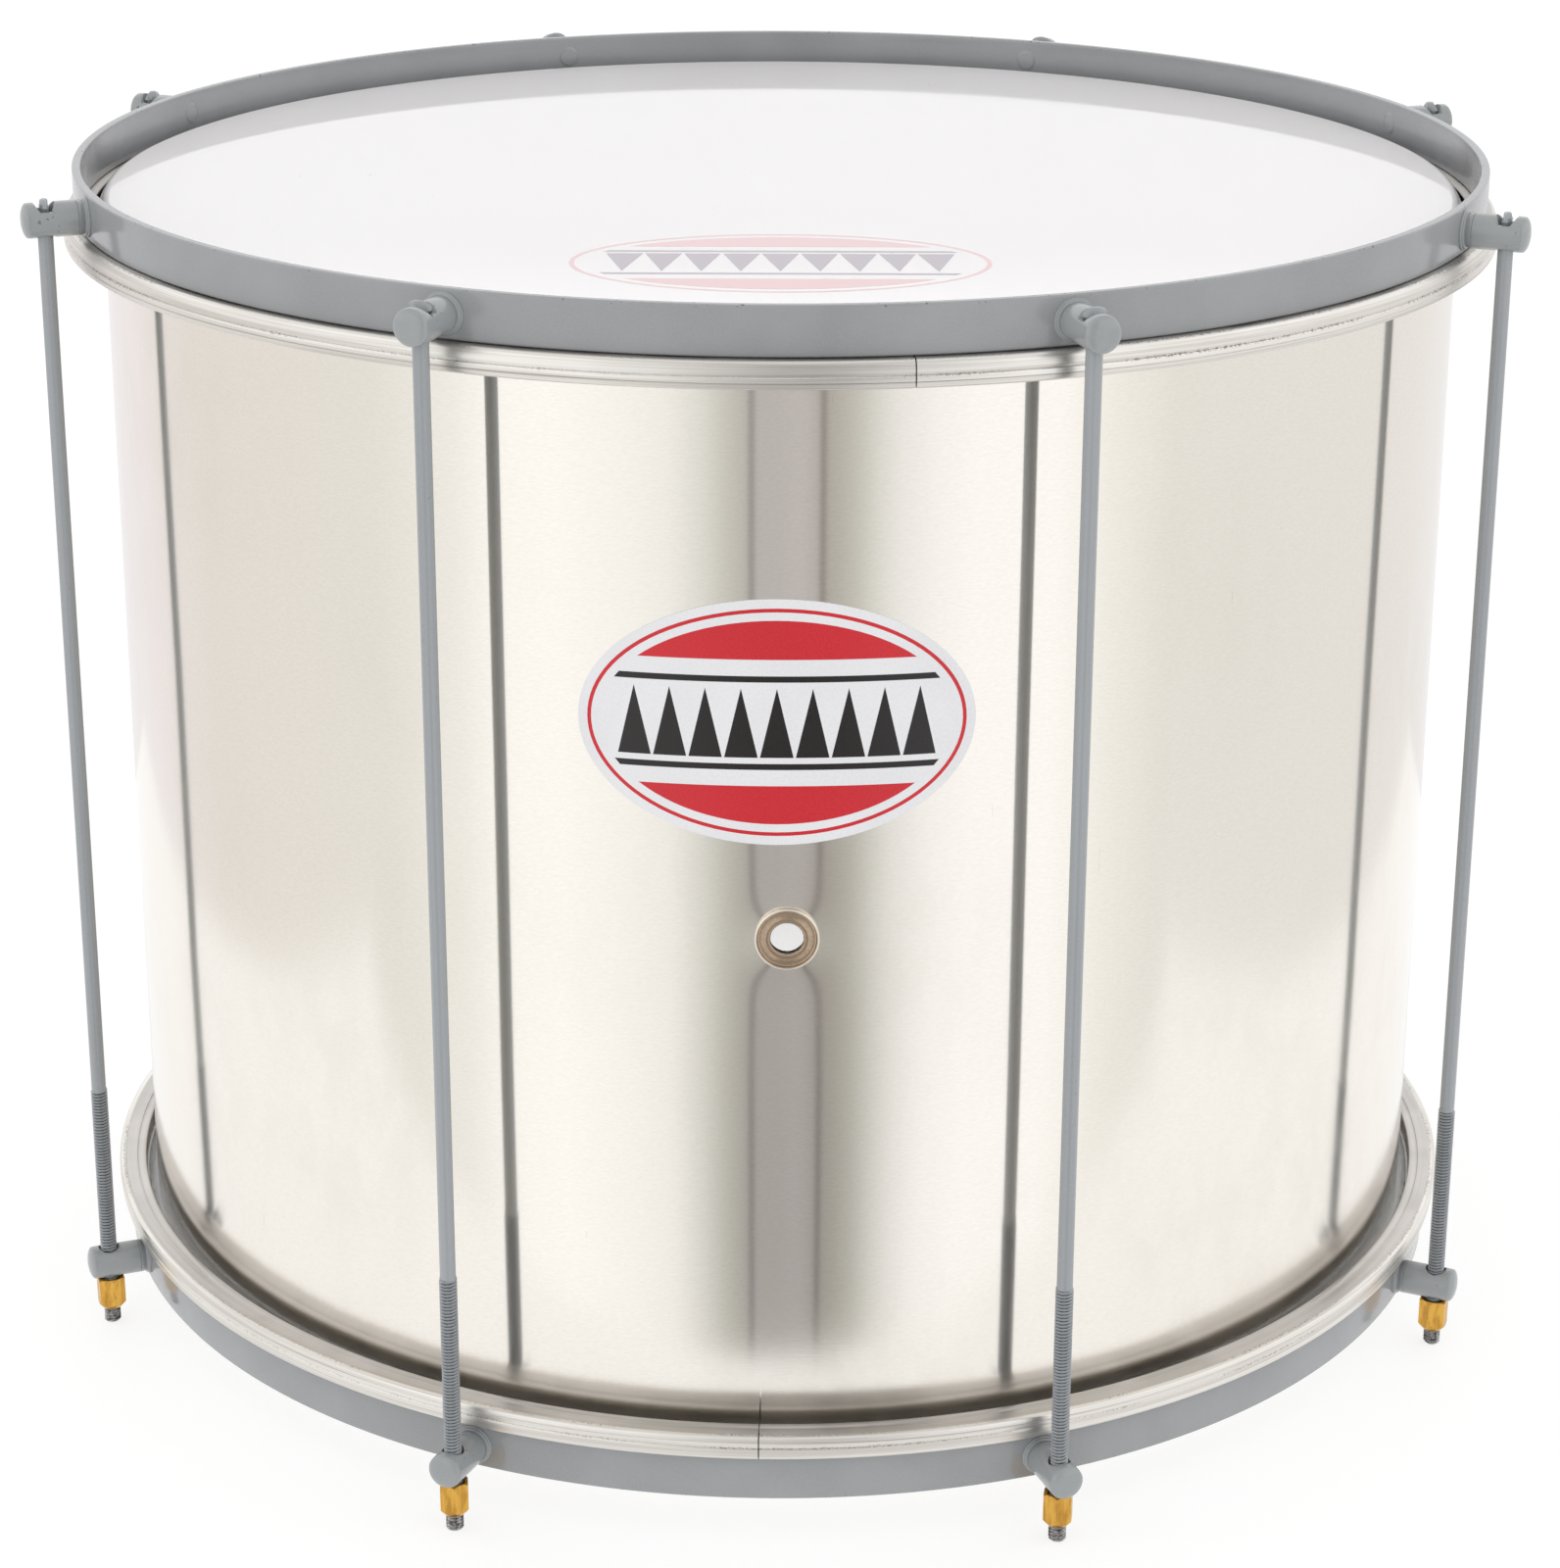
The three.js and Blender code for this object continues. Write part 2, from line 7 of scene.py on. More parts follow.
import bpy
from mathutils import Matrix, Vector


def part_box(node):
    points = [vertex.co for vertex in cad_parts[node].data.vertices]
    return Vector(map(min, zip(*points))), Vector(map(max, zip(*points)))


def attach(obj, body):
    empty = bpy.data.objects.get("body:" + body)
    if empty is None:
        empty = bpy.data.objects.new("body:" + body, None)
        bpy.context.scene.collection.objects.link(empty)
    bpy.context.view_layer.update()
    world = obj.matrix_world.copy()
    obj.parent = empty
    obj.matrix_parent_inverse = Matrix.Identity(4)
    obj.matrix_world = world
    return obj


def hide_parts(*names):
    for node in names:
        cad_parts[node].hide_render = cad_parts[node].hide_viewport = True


bl_info = {
    "name": "Surdo",
    "version": (1, 0, 0),
    "blender": (4, 5, 0),
    "location": "View3D > Sidebar > Surdo",
    "description": "Dresses a packed surdo frame with detailed pieces and procedural finishes",
    "category": "Add Mesh",
}

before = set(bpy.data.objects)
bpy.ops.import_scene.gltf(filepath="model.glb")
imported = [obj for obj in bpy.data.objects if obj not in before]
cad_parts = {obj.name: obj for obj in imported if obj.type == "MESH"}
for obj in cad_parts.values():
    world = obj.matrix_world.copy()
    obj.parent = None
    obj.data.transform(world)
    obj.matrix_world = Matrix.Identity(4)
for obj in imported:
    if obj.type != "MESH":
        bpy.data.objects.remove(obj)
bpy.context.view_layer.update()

import math

import bmesh
import bpy
from mathutils import Matrix, Vector

TAU = 2 * math.pi
QUARTER = math.pi / 2
MM = 0.001
ORIGIN = Vector((0, 0, 0))
ALONG = Vector((1, 0, 0))
UP = Vector((0, 0, 1))
WELD = 0.002 * MM

RING_FLATS = 48
FLAT_SHARE = math.cos(math.pi / RING_FLATS)   # a frame ring's flats lie this share of its radius out
ROD_COUNT = 8
ENDS = ("top", "bottom")
DRUM = "drum"


def middle(node):
    """The middle of a frame node's box."""
    low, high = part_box(node)
    return (low + high) / 2


def bearing_of(place):
    """The bearing of a place about the Z axis."""
    return math.atan2(place.y, place.x)


def ring_radius(node):
    """The outer radius of a frame ring, measured at its corners."""
    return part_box(node)[1].x / FLAT_SHARE


def shade(red, green, blue):
    """A screen colour of 0 to 255 as linear light."""
    shares = (value / 255 for value in (red, green, blue))
    return tuple(s / 12.92 if s <= 0.04045 else ((s + 0.055) / 1.055) ** 2.4 for s in shares)


SHELL_RADIUS = ring_radius("shell")
SHELL_LOW, SHELL_HIGH = (corner.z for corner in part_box("shell"))
SHELL_MIDDLE = (SHELL_LOW + SHELL_HIGH) / 2
SHELL_EDGE = 3.0 * MM
SHELL_LIP = 2.0 * MM
SHELL_WALL = 1.2 * MM

HOOP_OUTER = ring_radius("top_counterhoop")
HOOP_THICKNESS = 3.3 * MM
HOOP_INNER = HOOP_OUTER - HOOP_THICKNESS

FLESH_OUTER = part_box("top_flesh_hoop")[1].x
FLESH_WIDTH = 10.7 * MM
FLESH_INNER = FLESH_OUTER - FLESH_WIDTH
FLESH_LOW, FLESH_TOP = (corner.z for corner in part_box("top_flesh_hoop"))
FOLD_RISE = 4.2 * MM   # from the channel's lower face to its fold line

ROD_PLACES = [middle(f"tension_rod_{i + 1}") for i in range(ROD_COUNT)]
ROD_CIRCLE = math.hypot(ROD_PLACES[0].x, ROD_PLACES[0].y)
ROD_BEARINGS = [bearing_of(place) for place in ROD_PLACES]
ROD_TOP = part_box("tension_rod_1")[1].z
LUG_RADIUS = 6.35 * MM
LUG_NOSE = 8.4 * MM

VENT = middle("vent_eyelet")
VENT_BEARING = bearing_of(VENT)
VENT_BORE = 5.55 * MM
VENT_HOLE = 6.6 * MM

BADGE = middle("badge")
BADGE_BEARING = -QUARTER + sum(math.asin(corner.x / SHELL_RADIUS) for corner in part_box("badge")) / 2


def length(name, description, value):
    return bpy.props.FloatProperty(
        name=name, description=description, default=value, min=0.0,
        subtype="DISTANCE", unit="LENGTH", precision=5,
    )


def turn(name, description, value):
    return bpy.props.FloatProperty(name=name, description=description, default=value, subtype="ANGLE")


def share(name, description, value, most=1.0):
    return bpy.props.FloatProperty(name=name, description=description, default=value, min=0.0, max=most)


def count(name, description, value):
    return bpy.props.IntProperty(name=name, description=description, default=value, min=3)


def tint(name, description, value):
    return bpy.props.FloatVectorProperty(
        name=name, description=description, default=value, size=3, min=0.0, max=1.0, subtype="COLOR",
    )


class SurdoStageSettings(bpy.types.PropertyGroup):
    """The camera, the floor and the light around the drum"""

    lens: bpy.props.FloatProperty(
        name="Lens", description="Focal length on a 36 mm wide sensor", default=89.57, min=1.0,
    )
    azimuth: turn("Azimuth", "Bearing of the camera about the drum's axis", math.radians(-88.34))
    distance: length("Distance", "From the drum's axis to the camera, level", 1.46859)
    height: length("Height", "Of the camera above the rod tips", 0.7282)
    tilt: turn("Tilt", "How far the camera looks down", 0.35194)
    yaw: turn("Yaw", "How far the camera looks to the right of the drum's axis", 0.00032)
    roll: turn("Roll", "How far the camera is turned about its own line of sight", 0.00331)
    floor_reach: length("Floor reach", "From the drum's axis to the floor's edge", 7.0)
    floor_tone: share("Floor tone", "Share of light that the paper floor gives back", 0.30)
    floor_glow: share("Floor glow", "Light from under the paper, so that it shows white", 0.74)
    top_light: share("Top light", "Brightness of the tent above the horizon", 0.97, 3.0)
    box_light: share("Box light", "Brightness added at the tent's front sides", 0.30, 3.0)
    opening_fall: share("Opening fall", "How far the opening darkens downwards", 0.24)
    opening_depth: share("Opening depth", "How far the opening is darker above the horizon", 0.55)
    window_light: share("Window light", "Brightness added low behind the drum", 0.4, 3.0)
    opening_turn: turn("Opening turn", "Of the opening's darkest part to the right", 0.05)
    table_half: length("Table half width", "From the drum's axis to the lit table's sides", 0.62)
    table_front: length("Table front", "From the drum's axis to the lit table's front edge", 0.3553)
    table_back: length("Table back", "From the drum's axis to the lit table's back edge", 0.50)


class SurdoShellSettings(bpy.types.PropertyGroup):
    """The rolled aluminium shell"""

    columns: count("Columns", "Faces around the shell", 256)
    swell: length("Swell", "Rise of the sheet around the eyelet, over its wide part", 0.10 * MM)
    swell_width: length("Swell width", "Spread of the wide rise", 22 * MM)
    lift: length("Lift", "Rise of the sheet close to the eyelet", 0.48 * MM)
    lift_width: length("Lift width", "Spread of the close rise", 7.2 * MM)
    lift_drop: length("Lift drop", "Of the close rise's middle below the eyelet's", 2.5 * MM)
    colour: tint("Colour", "Aluminium", (0.915, 0.875, 0.815))
    clouding: tint("Clouding", "Aluminium where it is a little dull", (0.872, 0.828, 0.762))
    roughness: share("Roughness", "Of the rolled sheet", 0.11)
    streak: share("Streak", "How far the rolling lines stretch a highlight", 1.0)
    # This share darkens the sheet beside the flesh hoops: painted shade from the gaps there.
    grime_and_shade: share("Gap shade", "How far the sheet darkens beside the flesh hoops", 0.12)
    grain: length("Grain", "Depth of the rolling lines", 0.006 * MM)


class SurdoHeadSettings(bpy.types.PropertyGroup):
    """The two film heads and the print on the upper one"""

    thickness: length("Thickness", "Of the film", 0.35 * MM)
    batter_depth: length("Batter depth", "How far light spreads within the upper film", 0.5 * MM)
    resonant_depth: length("Resonant depth", "How far light spreads within the lower film", 60 * MM)
    colour: tint("Colour", "Milky film", (0.925, 0.870, 0.886))
    resonant: tint("Lower colour", "The lower film, a warmer white", (1.0, 0.965, 0.93))
    # The collar colour is painted shade: near-black film in the gap beside the shell.
    collar_shade: tint("Collar shade", "Film in the gap beside the shell", (0.075, 0.068, 0.053))
    roughness: share("Roughness", "Of the film", 0.035)
    print_width: length("Print width", "Of the oval print", 146 * MM)
    print_height: length("Print height", "Of the oval print", 92 * MM)
    print_reach: length("Print reach", "From the head's middle to the print's middle", 152 * MM)
    ring_ink: tint("Ring ink", "Pale ink of the ring and the bars", shade(233, 196, 199))
    frieze_ink: tint("Frieze ink", "Ink of the row of triangles", shade(176, 168, 178))


class SurdoRingSettings(bpy.types.PropertyGroup):
    """The flesh hoops and the locking rings inside them"""

    columns: count("Columns", "Faces around a ring", 256)
    seam: length("Seam", "Gap where the channel's ends meet", 0.45 * MM)
    top_seam: turn("Upper seam", "Bearing of the upper ring's joint", math.radians(-79.1))
    bottom_seam: turn("Lower seam", "Bearing of the lower ring's joint", math.radians(-89.7))
    colour: tint("Colour", "Bare drawn aluminium", (0.84, 0.815, 0.78))
    groove: tint("Groove", "Aluminium between the drawn lines", (0.64, 0.61, 0.565))
    scratch: tint("Scratch", "Aluminium in a crimp mark", (0.26, 0.24, 0.21))
    roughness: share("Roughness", "Of the drawn channel", 0.38)
    plastic: tint("Plastic", "Locking ring", shade(58, 58, 61))


class SurdoHoopSettings(bpy.types.PropertyGroup):
    """The flat steel counterhoops"""

    columns: count("Columns", "Faces around a hoop", 256)
    edge: length("Edge", "Rounding of the bar's edges", 0.75 * MM)


class SurdoEnamelSettings(bpy.types.PropertyGroup):
    """The grey enamel on hoops, lugs and rods"""

    hoop: tint("Hoop", "Enamel on the counterhoops", (0.312, 0.322, 0.331))
    lug: tint("Lug", "Enamel on the lugs", (0.312, 0.328, 0.336))
    rod: tint("Rod", "Enamel on the rods", (0.325, 0.344, 0.360))
    # The groove and thread colours are painted shade and painted highlight: darker and paler copies of the
    # rod's enamel on the thread's grooves and crests.
    groove: tint("Groove", "Enamel in the threads' grooves", (0.085, 0.095, 0.108))
    thread: tint("Thread", "Enamel on the threads' crests", (0.480, 0.508, 0.535))
    bare: tint("Chips", "Steel where the enamel is chipped", (0.035, 0.035, 0.045))
    roughness: share("Roughness", "Of the enamel", 0.14)
    peel: length("Peel", "Depth of the enamel's orange peel", 0.012 * MM)
    shine: share("Shine", "Reflection of the enamel, seen straight on", 0.75)


class SurdoLugSettings(bpy.types.PropertyGroup):
    """The turned lugs that are riveted through the counterhoops"""

    facets: count("Facets", "Faces around a lug", 48)
    dome: length("Dome", "Height of the rounded end", 2.3 * MM)
    bore: length("Bore", "Radius of the rod hole", 3.95 * MM)
    notch_floor: length("Notch floor", "Half width of the notch's floor", 2.1 * MM)
    notch_top: length("Notch top", "Half width of the notch at the lug's top", 3.9 * MM)
    notch_depth: length("Notch depth", "From the lug's top to the notch's floor", 2.9 * MM)


class SurdoRodSettings(bpy.types.PropertyGroup):
    """The tension rods"""

    pitch: length("Pitch", "Of the thread", 1.27 * MM)
    crest: length("Crest", "Radius of the thread's crest", 3.175 * MM)
    root: length("Root", "Depth of the thread, filled in part by enamel", 0.52 * MM)
    shank: length("Shank", "Radius of the plain rod", 2.8 * MM)
    thread: length("Thread", "Length of the thread from the tip", 100 * MM)
    sides: count("Sides", "Faces around a rod", 16)
    steel: tint("Steel", "Bare thread below the nut", (0.56, 0.55, 0.54))


class SurdoNutSettings(bpy.types.PropertyGroup):
    """The brass tuning nuts"""

    flat: length("Flat", "From the nut's axis to the middle of a flat", 4.975 * MM)
    bore: length("Bore", "Radius of the threaded hole", 3.3 * MM)
    foot: length("Foot", "How far the nut's foot stands above its frame node's", 1.5 * MM)
    colour: tint("Colour", "Turned brass", (0.74, 0.42, 0.085))
    tarnish: tint("Tarnish", "Brass where it has dulled", (0.50, 0.26, 0.05))
    roughness: share("Roughness", "Of the turned brass", 0.24)


class SurdoVentSettings(bpy.types.PropertyGroup):
    """The vent's eyelet and its back washer"""

    facets: count("Facets", "Faces around the eyelet", 64)
    flange: length("Flange", "Radius of the eyelet's flange", 11 * MM)
    colour: tint("Colour", "Warm nickel plate", (0.50, 0.38, 0.275))
    # The rim colour is painted light: a paler plate for the rolled bead's highlight and for the lit wall
    # inside the bore.
    rim: tint("Rim", "Plate on the rolled rim, polished by handling", (0.86, 0.80, 0.70))
    roughness: share("Roughness", "Of the plated face", 0.33)


class SurdoBadgeSettings(bpy.types.PropertyGroup):
    """The oval sticker on the shell"""

    width: length("Width", "Of the sticker", 133.6 * MM)
    height: length("Height", "Of the sticker", 85.8 * MM)
    rise: length("Rise", "Of the sticker's face from the shell", 0.3 * MM)
    vinyl: tint("Vinyl", "White vinyl", (0.80, 0.80, 0.815))
    red: tint("Red", "Red ink", shade(205, 32, 44))
    black: tint("Black", "Black ink", shade(28, 24, 24))


SETTINGS = {
    "surdo_stage": SurdoStageSettings,
    "surdo_shell": SurdoShellSettings,
    "surdo_heads": SurdoHeadSettings,
    "surdo_rings": SurdoRingSettings,
    "surdo_hoops": SurdoHoopSettings,
    "surdo_enamel": SurdoEnamelSettings,
    "surdo_lugs": SurdoLugSettings,
    "surdo_rods": SurdoRodSettings,
    "surdo_nuts": SurdoNutSettings,
    "surdo_vent": SurdoVentSettings,
    "surdo_badge": SurdoBadgeSettings,
}


# Meshes

def verts_of(parts):
    return [part for part in parts if isinstance(part, bmesh.types.BMVert)]


def edges_of(parts):
    return [part for part in parts if isinstance(part, bmesh.types.BMEdge)]


def around(bearing, radius, height=0.0):
    """The place at a bearing and a radius about the Z axis."""
    return Vector((radius * math.cos(bearing), radius * math.sin(bearing), height))


def flat_way(place):
    """The level direction from the drum's axis to a place."""
    return Vector((place.x, place.y, 0)).normalized()


def near(across, up, *steps):
    """Points of an outline, each given in millimetres from one place."""
    return [(across + right * MM, up + rise * MM) for right, rise in steps]


def arc(across, up, radius, start, end, steps):
    """Points of an arc of an outline, both ends included."""
    angles = (start + (end - start) * i / steps for i in range(steps + 1))
    return [(across + radius * math.cos(a), up + radius * math.sin(a)) for a in angles]


def loop(points):
    return points + [points[0]]


def chain(bm, points, bearing=0.0):
    """An open chain of edges through points of (across, up), laid in the plane at a bearing."""
    corners = [bm.verts.new(around(bearing, across, up)) for across, up in points]
    return corners + [bm.edges.new(pair) for pair in zip(corners, corners[1:])]


def spin(bm, geometry, steps, axis=UP, angle=TAU):
    """Turns geometry about an axis through the origin and closes its seam and poles."""
    bmesh.ops.spin(
        bm, geom=geometry, cent=ORIGIN, axis=axis, dvec=ORIGIN, angle=angle, steps=steps,
        use_merge=angle == TAU, use_duplicate=False,
    )
    bmesh.ops.remove_doubles(bm, verts=bm.verts, dist=WELD)
    bmesh.ops.recalc_face_normals(bm, faces=bm.faces)


def turned(points, steps, axis=UP):
    """A mesh turned from an outline. About X, the outline's pairs are (radius, along)."""
    bm = bmesh.new()
    if axis == ALONG:
        points = [(along, radius) for radius, along in points]
    spin(bm, chain(bm, points), steps, axis)
    return bm


def raised(bm, ring, height):
    """Extrudes a ring of edges upwards and returns the new ring and its corners."""
    made = bmesh.ops.extrude_edge_only(bm, edges=ring)["geom"]
    corners = verts_of(made)
    for vert in corners:
        vert.co.z = height
    fresh = set(corners)
    return [edge for edge in edges_of(made) if set(edge.verts) <= fresh], corners


def split_faces(bm, point, normal, keep=None):
    """Cuts every face, or those that keep picks, along a plane."""
    faces = [face for face in bm.faces if keep is None or keep(face.calc_center_median())]
    edges = {edge for face in faces for edge in face.edges}
    verts = {vert for face in faces for vert in face.verts}
    bmesh.ops.bisect_plane(bm, geom=[*verts, *edges, *faces], dist=1e-6, plane_co=point, plane_no=normal)


def round_edges(bm, edges, offset, segments):
    bmesh.ops.bevel(
        bm, geom=edges, offset=offset, offset_type="OFFSET", affect="EDGES", segments=segments,
        profile=0.5, material=-1, clamp_overlap=True,
    )


def face_up(bm, face):
    """Turns all faces over where one that should face up doesn't."""
    if face.normal.z < 0:
        bmesh.ops.reverse_faces(bm, faces=bm.faces)


def to_mesh(bm, sharp=38):
    """A smooth mesh whose edges stay sharp past an angle in degrees."""
    mesh = bpy.data.meshes.new("piece")
    bm.to_mesh(mesh)
    bm.free()
    mesh.shade_smooth()
    mesh.set_sharp_from_angle(angle=math.radians(sharp))
    return mesh


def linked(name, data):
    """A new object in the scene."""
    made = bpy.data.objects.new(name, data)
    bpy.context.scene.collection.objects.link(made)
    return made


def add_piece(mesh, name, body, materials, nodes=()):
    """Adds a finished mesh as a piece that rides on a body and stands for frame nodes."""
    mesh.name = name
    for material in materials:
        mesh.materials.append(material)
    piece = linked(name, mesh)
    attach(piece, body)
    if nodes:
        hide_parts(*nodes)


def carved(mesh, cutters):
    """A copy of a mesh with other meshes cut out of it."""
    solid = linked("solid", mesh)
    tools = [linked("cutter", cutter) for cutter in cutters]
    for tool in tools:
        cut = solid.modifiers.new("cut", "BOOLEAN")
        cut.operation = "DIFFERENCE"
        cut.solver = "EXACT"
        cut.object = tool
    found = solid.evaluated_get(bpy.context.evaluated_depsgraph_get())
    result = bpy.data.meshes.new_from_object(found)
    for spare in (solid, *tools):
        bpy.data.objects.remove(spare)
    return result


def copied(mesh, matrix):
    copy = mesh.copy()
    copy.transform(matrix)
    return copy


def at_rod(i, height, reach=0.0):
    """Lays a shape made at the origin, pointing along X, at rod i."""
    return Matrix.Rotation(ROD_BEARINGS[i], 4, "Z") @ Matrix.Translation((reach, 0, height))


def at_end(mesh, end):
    """Leaves a mesh made for the upper end as it is, or turns it over for the lower one."""
    if end == "bottom":
        mesh.transform(Matrix.Translation(UP * 2 * SHELL_MIDDLE) @ Matrix.Rotation(math.pi, 4, "X"))
    return mesh


# Materials

def toned(colour, factor):
    """A colour made darker or paler."""
    return tuple(min(1.0, value * factor) for value in colour)


class Recipe:
    """A node tree, with short ways to add nodes and join them."""

    def __init__(self, tree, material=None):
        self.tree = tree
        self.material = material
        self.object_point = None

    def feed(self, socket, value):
        if isinstance(value, bpy.types.NodeSocket):
            self.tree.links.new(value, socket)
        else:
            socket.default_value = value

    def add(self, kind, inputs, **options):
        """Adds a node and returns its first output."""
        node = self.tree.nodes.new("ShaderNode" + kind)
        for option, value in options.items():
            setattr(node, option, value)
        for key, value in inputs.items():
            self.feed(node.inputs[key], value)
        return node.outputs[0]

    def math(self, operation, *values):
        return self.add("Math", dict(enumerate(values)), operation=operation)

    def times(self, first, *others):
        for other in others:
            first = self.math("MULTIPLY", first, other)
        return first

    def plus(self, first, second):
        return self.math("ADD", first, second)

    def less(self, first, second):
        return self.math("SUBTRACT", first, second)

    def most(self, first, second):
        return self.math("MAXIMUM", first, second)

    def apart(self, first, second):
        """How far two values are from each other."""
        return self.math("ABSOLUTE", self.less(first, second))

    def hypot(self, first, second):
        return self.math("SQRT", self.plus(self.times(first, first), self.times(second, second)))

    def point(self):
        """The place on the piece, in its own coordinates."""
        if self.object_point is None:
            self.object_point = self.tree.nodes.new("ShaderNodeTexCoord").outputs["Object"]
        return self.object_point

    def parts(self, vector):
        node = self.tree.nodes.new("ShaderNodeSeparateXYZ")
        self.feed(node.inputs[0], vector)
        return node.outputs

    def radius(self):
        """How far the place is from the drum's axis."""
        return self.hypot(*self.parts(self.point())[:2])

    def height(self):
        return self.parts(self.point())[2]

    def level(self):
        """How far the place is above or below the middle of the shell."""
        return self.apart(self.height(), SHELL_MIDDLE)

    def noise(self, scale, detail=2.0, roughness=0.5):
        """Clouds in the piece's own coordinates, scaled alike or by a number for each axis."""
        place = self.point()
        if isinstance(scale, tuple):
            place, scale = self.add("Mapping", {"Vector": place, "Scale": scale}), 1.0
        inputs = {"Vector": place, "Scale": scale, "Detail": detail, "Roughness": roughness}
        return self.add("TexNoise", inputs)

    def ease(self, value, low, high, start=0.0, end=1.0):
        """Goes smoothly from start to end as a value goes from low to high."""
        inputs = {0: value, 1: low, 2: high, 3: start, 4: end}
        return self.add("MapRange", inputs, interpolation_type="SMOOTHSTEP")

    def fade(self, value, low, high, start=1.0):
        return self.ease(value, low, high, start, 0.0)

    def line(self, value, at, half, soft):
        """One near a value and zero away from it."""
        return self.fade(self.apart(value, at), half, half + soft)

    def mix(self, factor, first, second):
        def rgba(value):
            return value if isinstance(value, bpy.types.NodeSocket) else (*value, 1.0)
        node = self.tree.nodes.new("ShaderNodeMix")
        node.data_type = "RGBA"
        for key, value in {0: factor, 6: rgba(first), 7: rgba(second)}.items():
            self.feed(node.inputs[key], value)
        return node.outputs[2]

    def tangent(self):
        """The direction around the drum."""
        return self.add("Tangent", {}, direction_type="RADIAL", axis="Z")

    def bump(self, height, distance, strength=1.0):
        return self.add("Bump", {"Height": height, "Distance": distance, "Strength": strength})

    def look(self, **sockets):
        """Sets or links the shader's sockets, named with underscores for spaces."""
        shader = self.tree.nodes["Principled BSDF"]
        for name, value in sockets.items():
            self.feed(shader.inputs[name.replace("_", " ")], value)
        return self.material


def recipe(name):
    material = bpy.data.materials.new(name)
    material.use_nodes = True
    return Recipe(material.node_tree, material)


def rolled_aluminium(look):
    """Near-mirror sheet, with fine lines around the drum that stretch reflections up and down."""
    r = recipe("rolled_aluminium")
    x, y, _ = r.parts(r.point())
    lines = r.noise((110, 110, 2200), 2, 0.6)
    clouds = r.noise(7, 3)
    smudges = r.noise((60, 60, 35), 4, 0.65)
    scratches = r.noise((900, 900, 50))
    fine = r.noise((500, 500, 1500), 3, 0.7)
    faint = r.times(r.ease(scratches, 0.72, 0.78), r.ease(smudges, 0.55, 0.65), 0.5)
    dull = r.times(r.ease(clouds, 0.40, 0.70), r.ease(smudges, 0.35, 0.65, 0.35, 1.0))
    weld = r.times(r.line(x, 0.0, 0.4 * MM, 1.0 * MM), r.ease(y, 0.0, 10 * MM))
    edge = (SHELL_HIGH - SHELL_LOW) / 2
    # Painted shade: the sheet darkens towards dark brown beside the flesh hoops, where the gaps shade it.
    shade_beside_hoop = r.ease(r.level(), edge - 13.6 * MM, edge - 11 * MM, 0.0, look.grime_and_shade)
    sheet = r.mix(dull, look.colour, look.clouding)
    sheet = r.mix(r.ease(fine, 0.30, 0.70, 0.0, 0.30), sheet, (0.78, 0.74, 0.68))
    sheet = r.mix(shade_beside_hoop, sheet, (0.10, 0.095, 0.08))
    sheet = r.mix(faint, sheet, (0.70, 0.66, 0.60))
    return r.look(
        Base_Color=r.mix(weld, sheet, (0.60, 0.56, 0.50)),
        Metallic=1.0,
        Roughness=r.plus(look.roughness, r.ease(dull, 0, 1, -0.01, 0.015)),
        Anisotropic=look.streak,
        Anisotropic_Rotation=0.25,
        Tangent=r.tangent(),
        Normal=r.bump(r.less(lines, weld), look.grain),
    )


def drawn_aluminium(look):
    """Bare channel: fine drawn lines along the ring, soft patches, two rows of crimp marks, and painted
    shade on all but its outer face, deeper at its inner edge.
    """
    r = recipe("drawn_aluminium")
    x, y, height = r.parts(r.point())
    radius = r.radius()

    def lines(along, across):
        """Noise that runs along the ring and changes quickly across it."""
        place = {0: r.times(x, along), 1: r.times(y, along), 2: r.times(height, across)}
        point = {"Vector": r.add("CombineXYZ", place), "W": r.times(radius, across)}
        return r.add("TexNoise", {**point, "Scale": 1.0, "Detail": 2.0}, noise_dimensions="4D")

    fine, broad = lines(14, 2600), lines(5, 620)
    specks = r.noise(1000, 3, 0.65)
    patches = r.noise(24, 3)
    upper_row = r.line(radius, FLESH_OUTER - 2 * MM, 0.4 * MM, 0.5 * MM)
    fold_row = r.times(
        r.line(r.level(), FLESH_LOW + FOLD_RISE - SHELL_MIDDLE, 0.25 * MM, 0.5 * MM),
        r.ease(radius, FLESH_OUTER - 2 * MM, FLESH_OUTER - 1 * MM),
    )
    crimps = r.times(r.ease(specks, 0.47, 0.60), r.most(upper_row, fold_row),
                     r.ease(patches, 0.42, 0.60, 0.12, 1.0))
    drawn = r.ease(r.times(r.plus(fine, broad), 0.5), 0.36, 0.62)
    # Painted shade: every face inside the outer one, the level faces first of all, takes a darker, patchy
    # grey in place of the dark reflection it shows.
    level_face_shade = r.fade(radius, FLESH_OUTER - 2.6 * MM, FLESH_OUTER - 1.6 * MM, 0.75)
    level_shade_tone = r.mix(r.ease(patches, 0.40, 0.62), (0.37, 0.352, 0.335), (0.52, 0.497, 0.478))
    # Painted shade: the channel turns dark brown at its inner edge, in the gap beside the shell.
    inner_edge_shade = r.fade(radius, FLESH_INNER + 0.2 * MM, FLESH_INNER + 0.6 * MM, 0.35)
    shaded = r.mix(level_face_shade, r.mix(drawn, look.groove, look.colour), level_shade_tone)
    shaded = r.mix(inner_edge_shade, shaded, (0.20, 0.185, 0.15))
    return r.look(
        Base_Color=r.mix(r.times(crimps, 0.7), shaded, look.scratch),
        Metallic=1.0,
        Roughness=r.ease(patches, 0.25, 0.75, look.roughness - 0.08, look.roughness + 0.10),
        Anisotropic=0.45,
        Anisotropic_Rotation=0.25,
        Tangent=r.tangent(),
        Normal=r.bump(r.less(r.plus(fine, broad), r.times(crimps, 1.5)), 0.014 * MM, 0.9),
    )


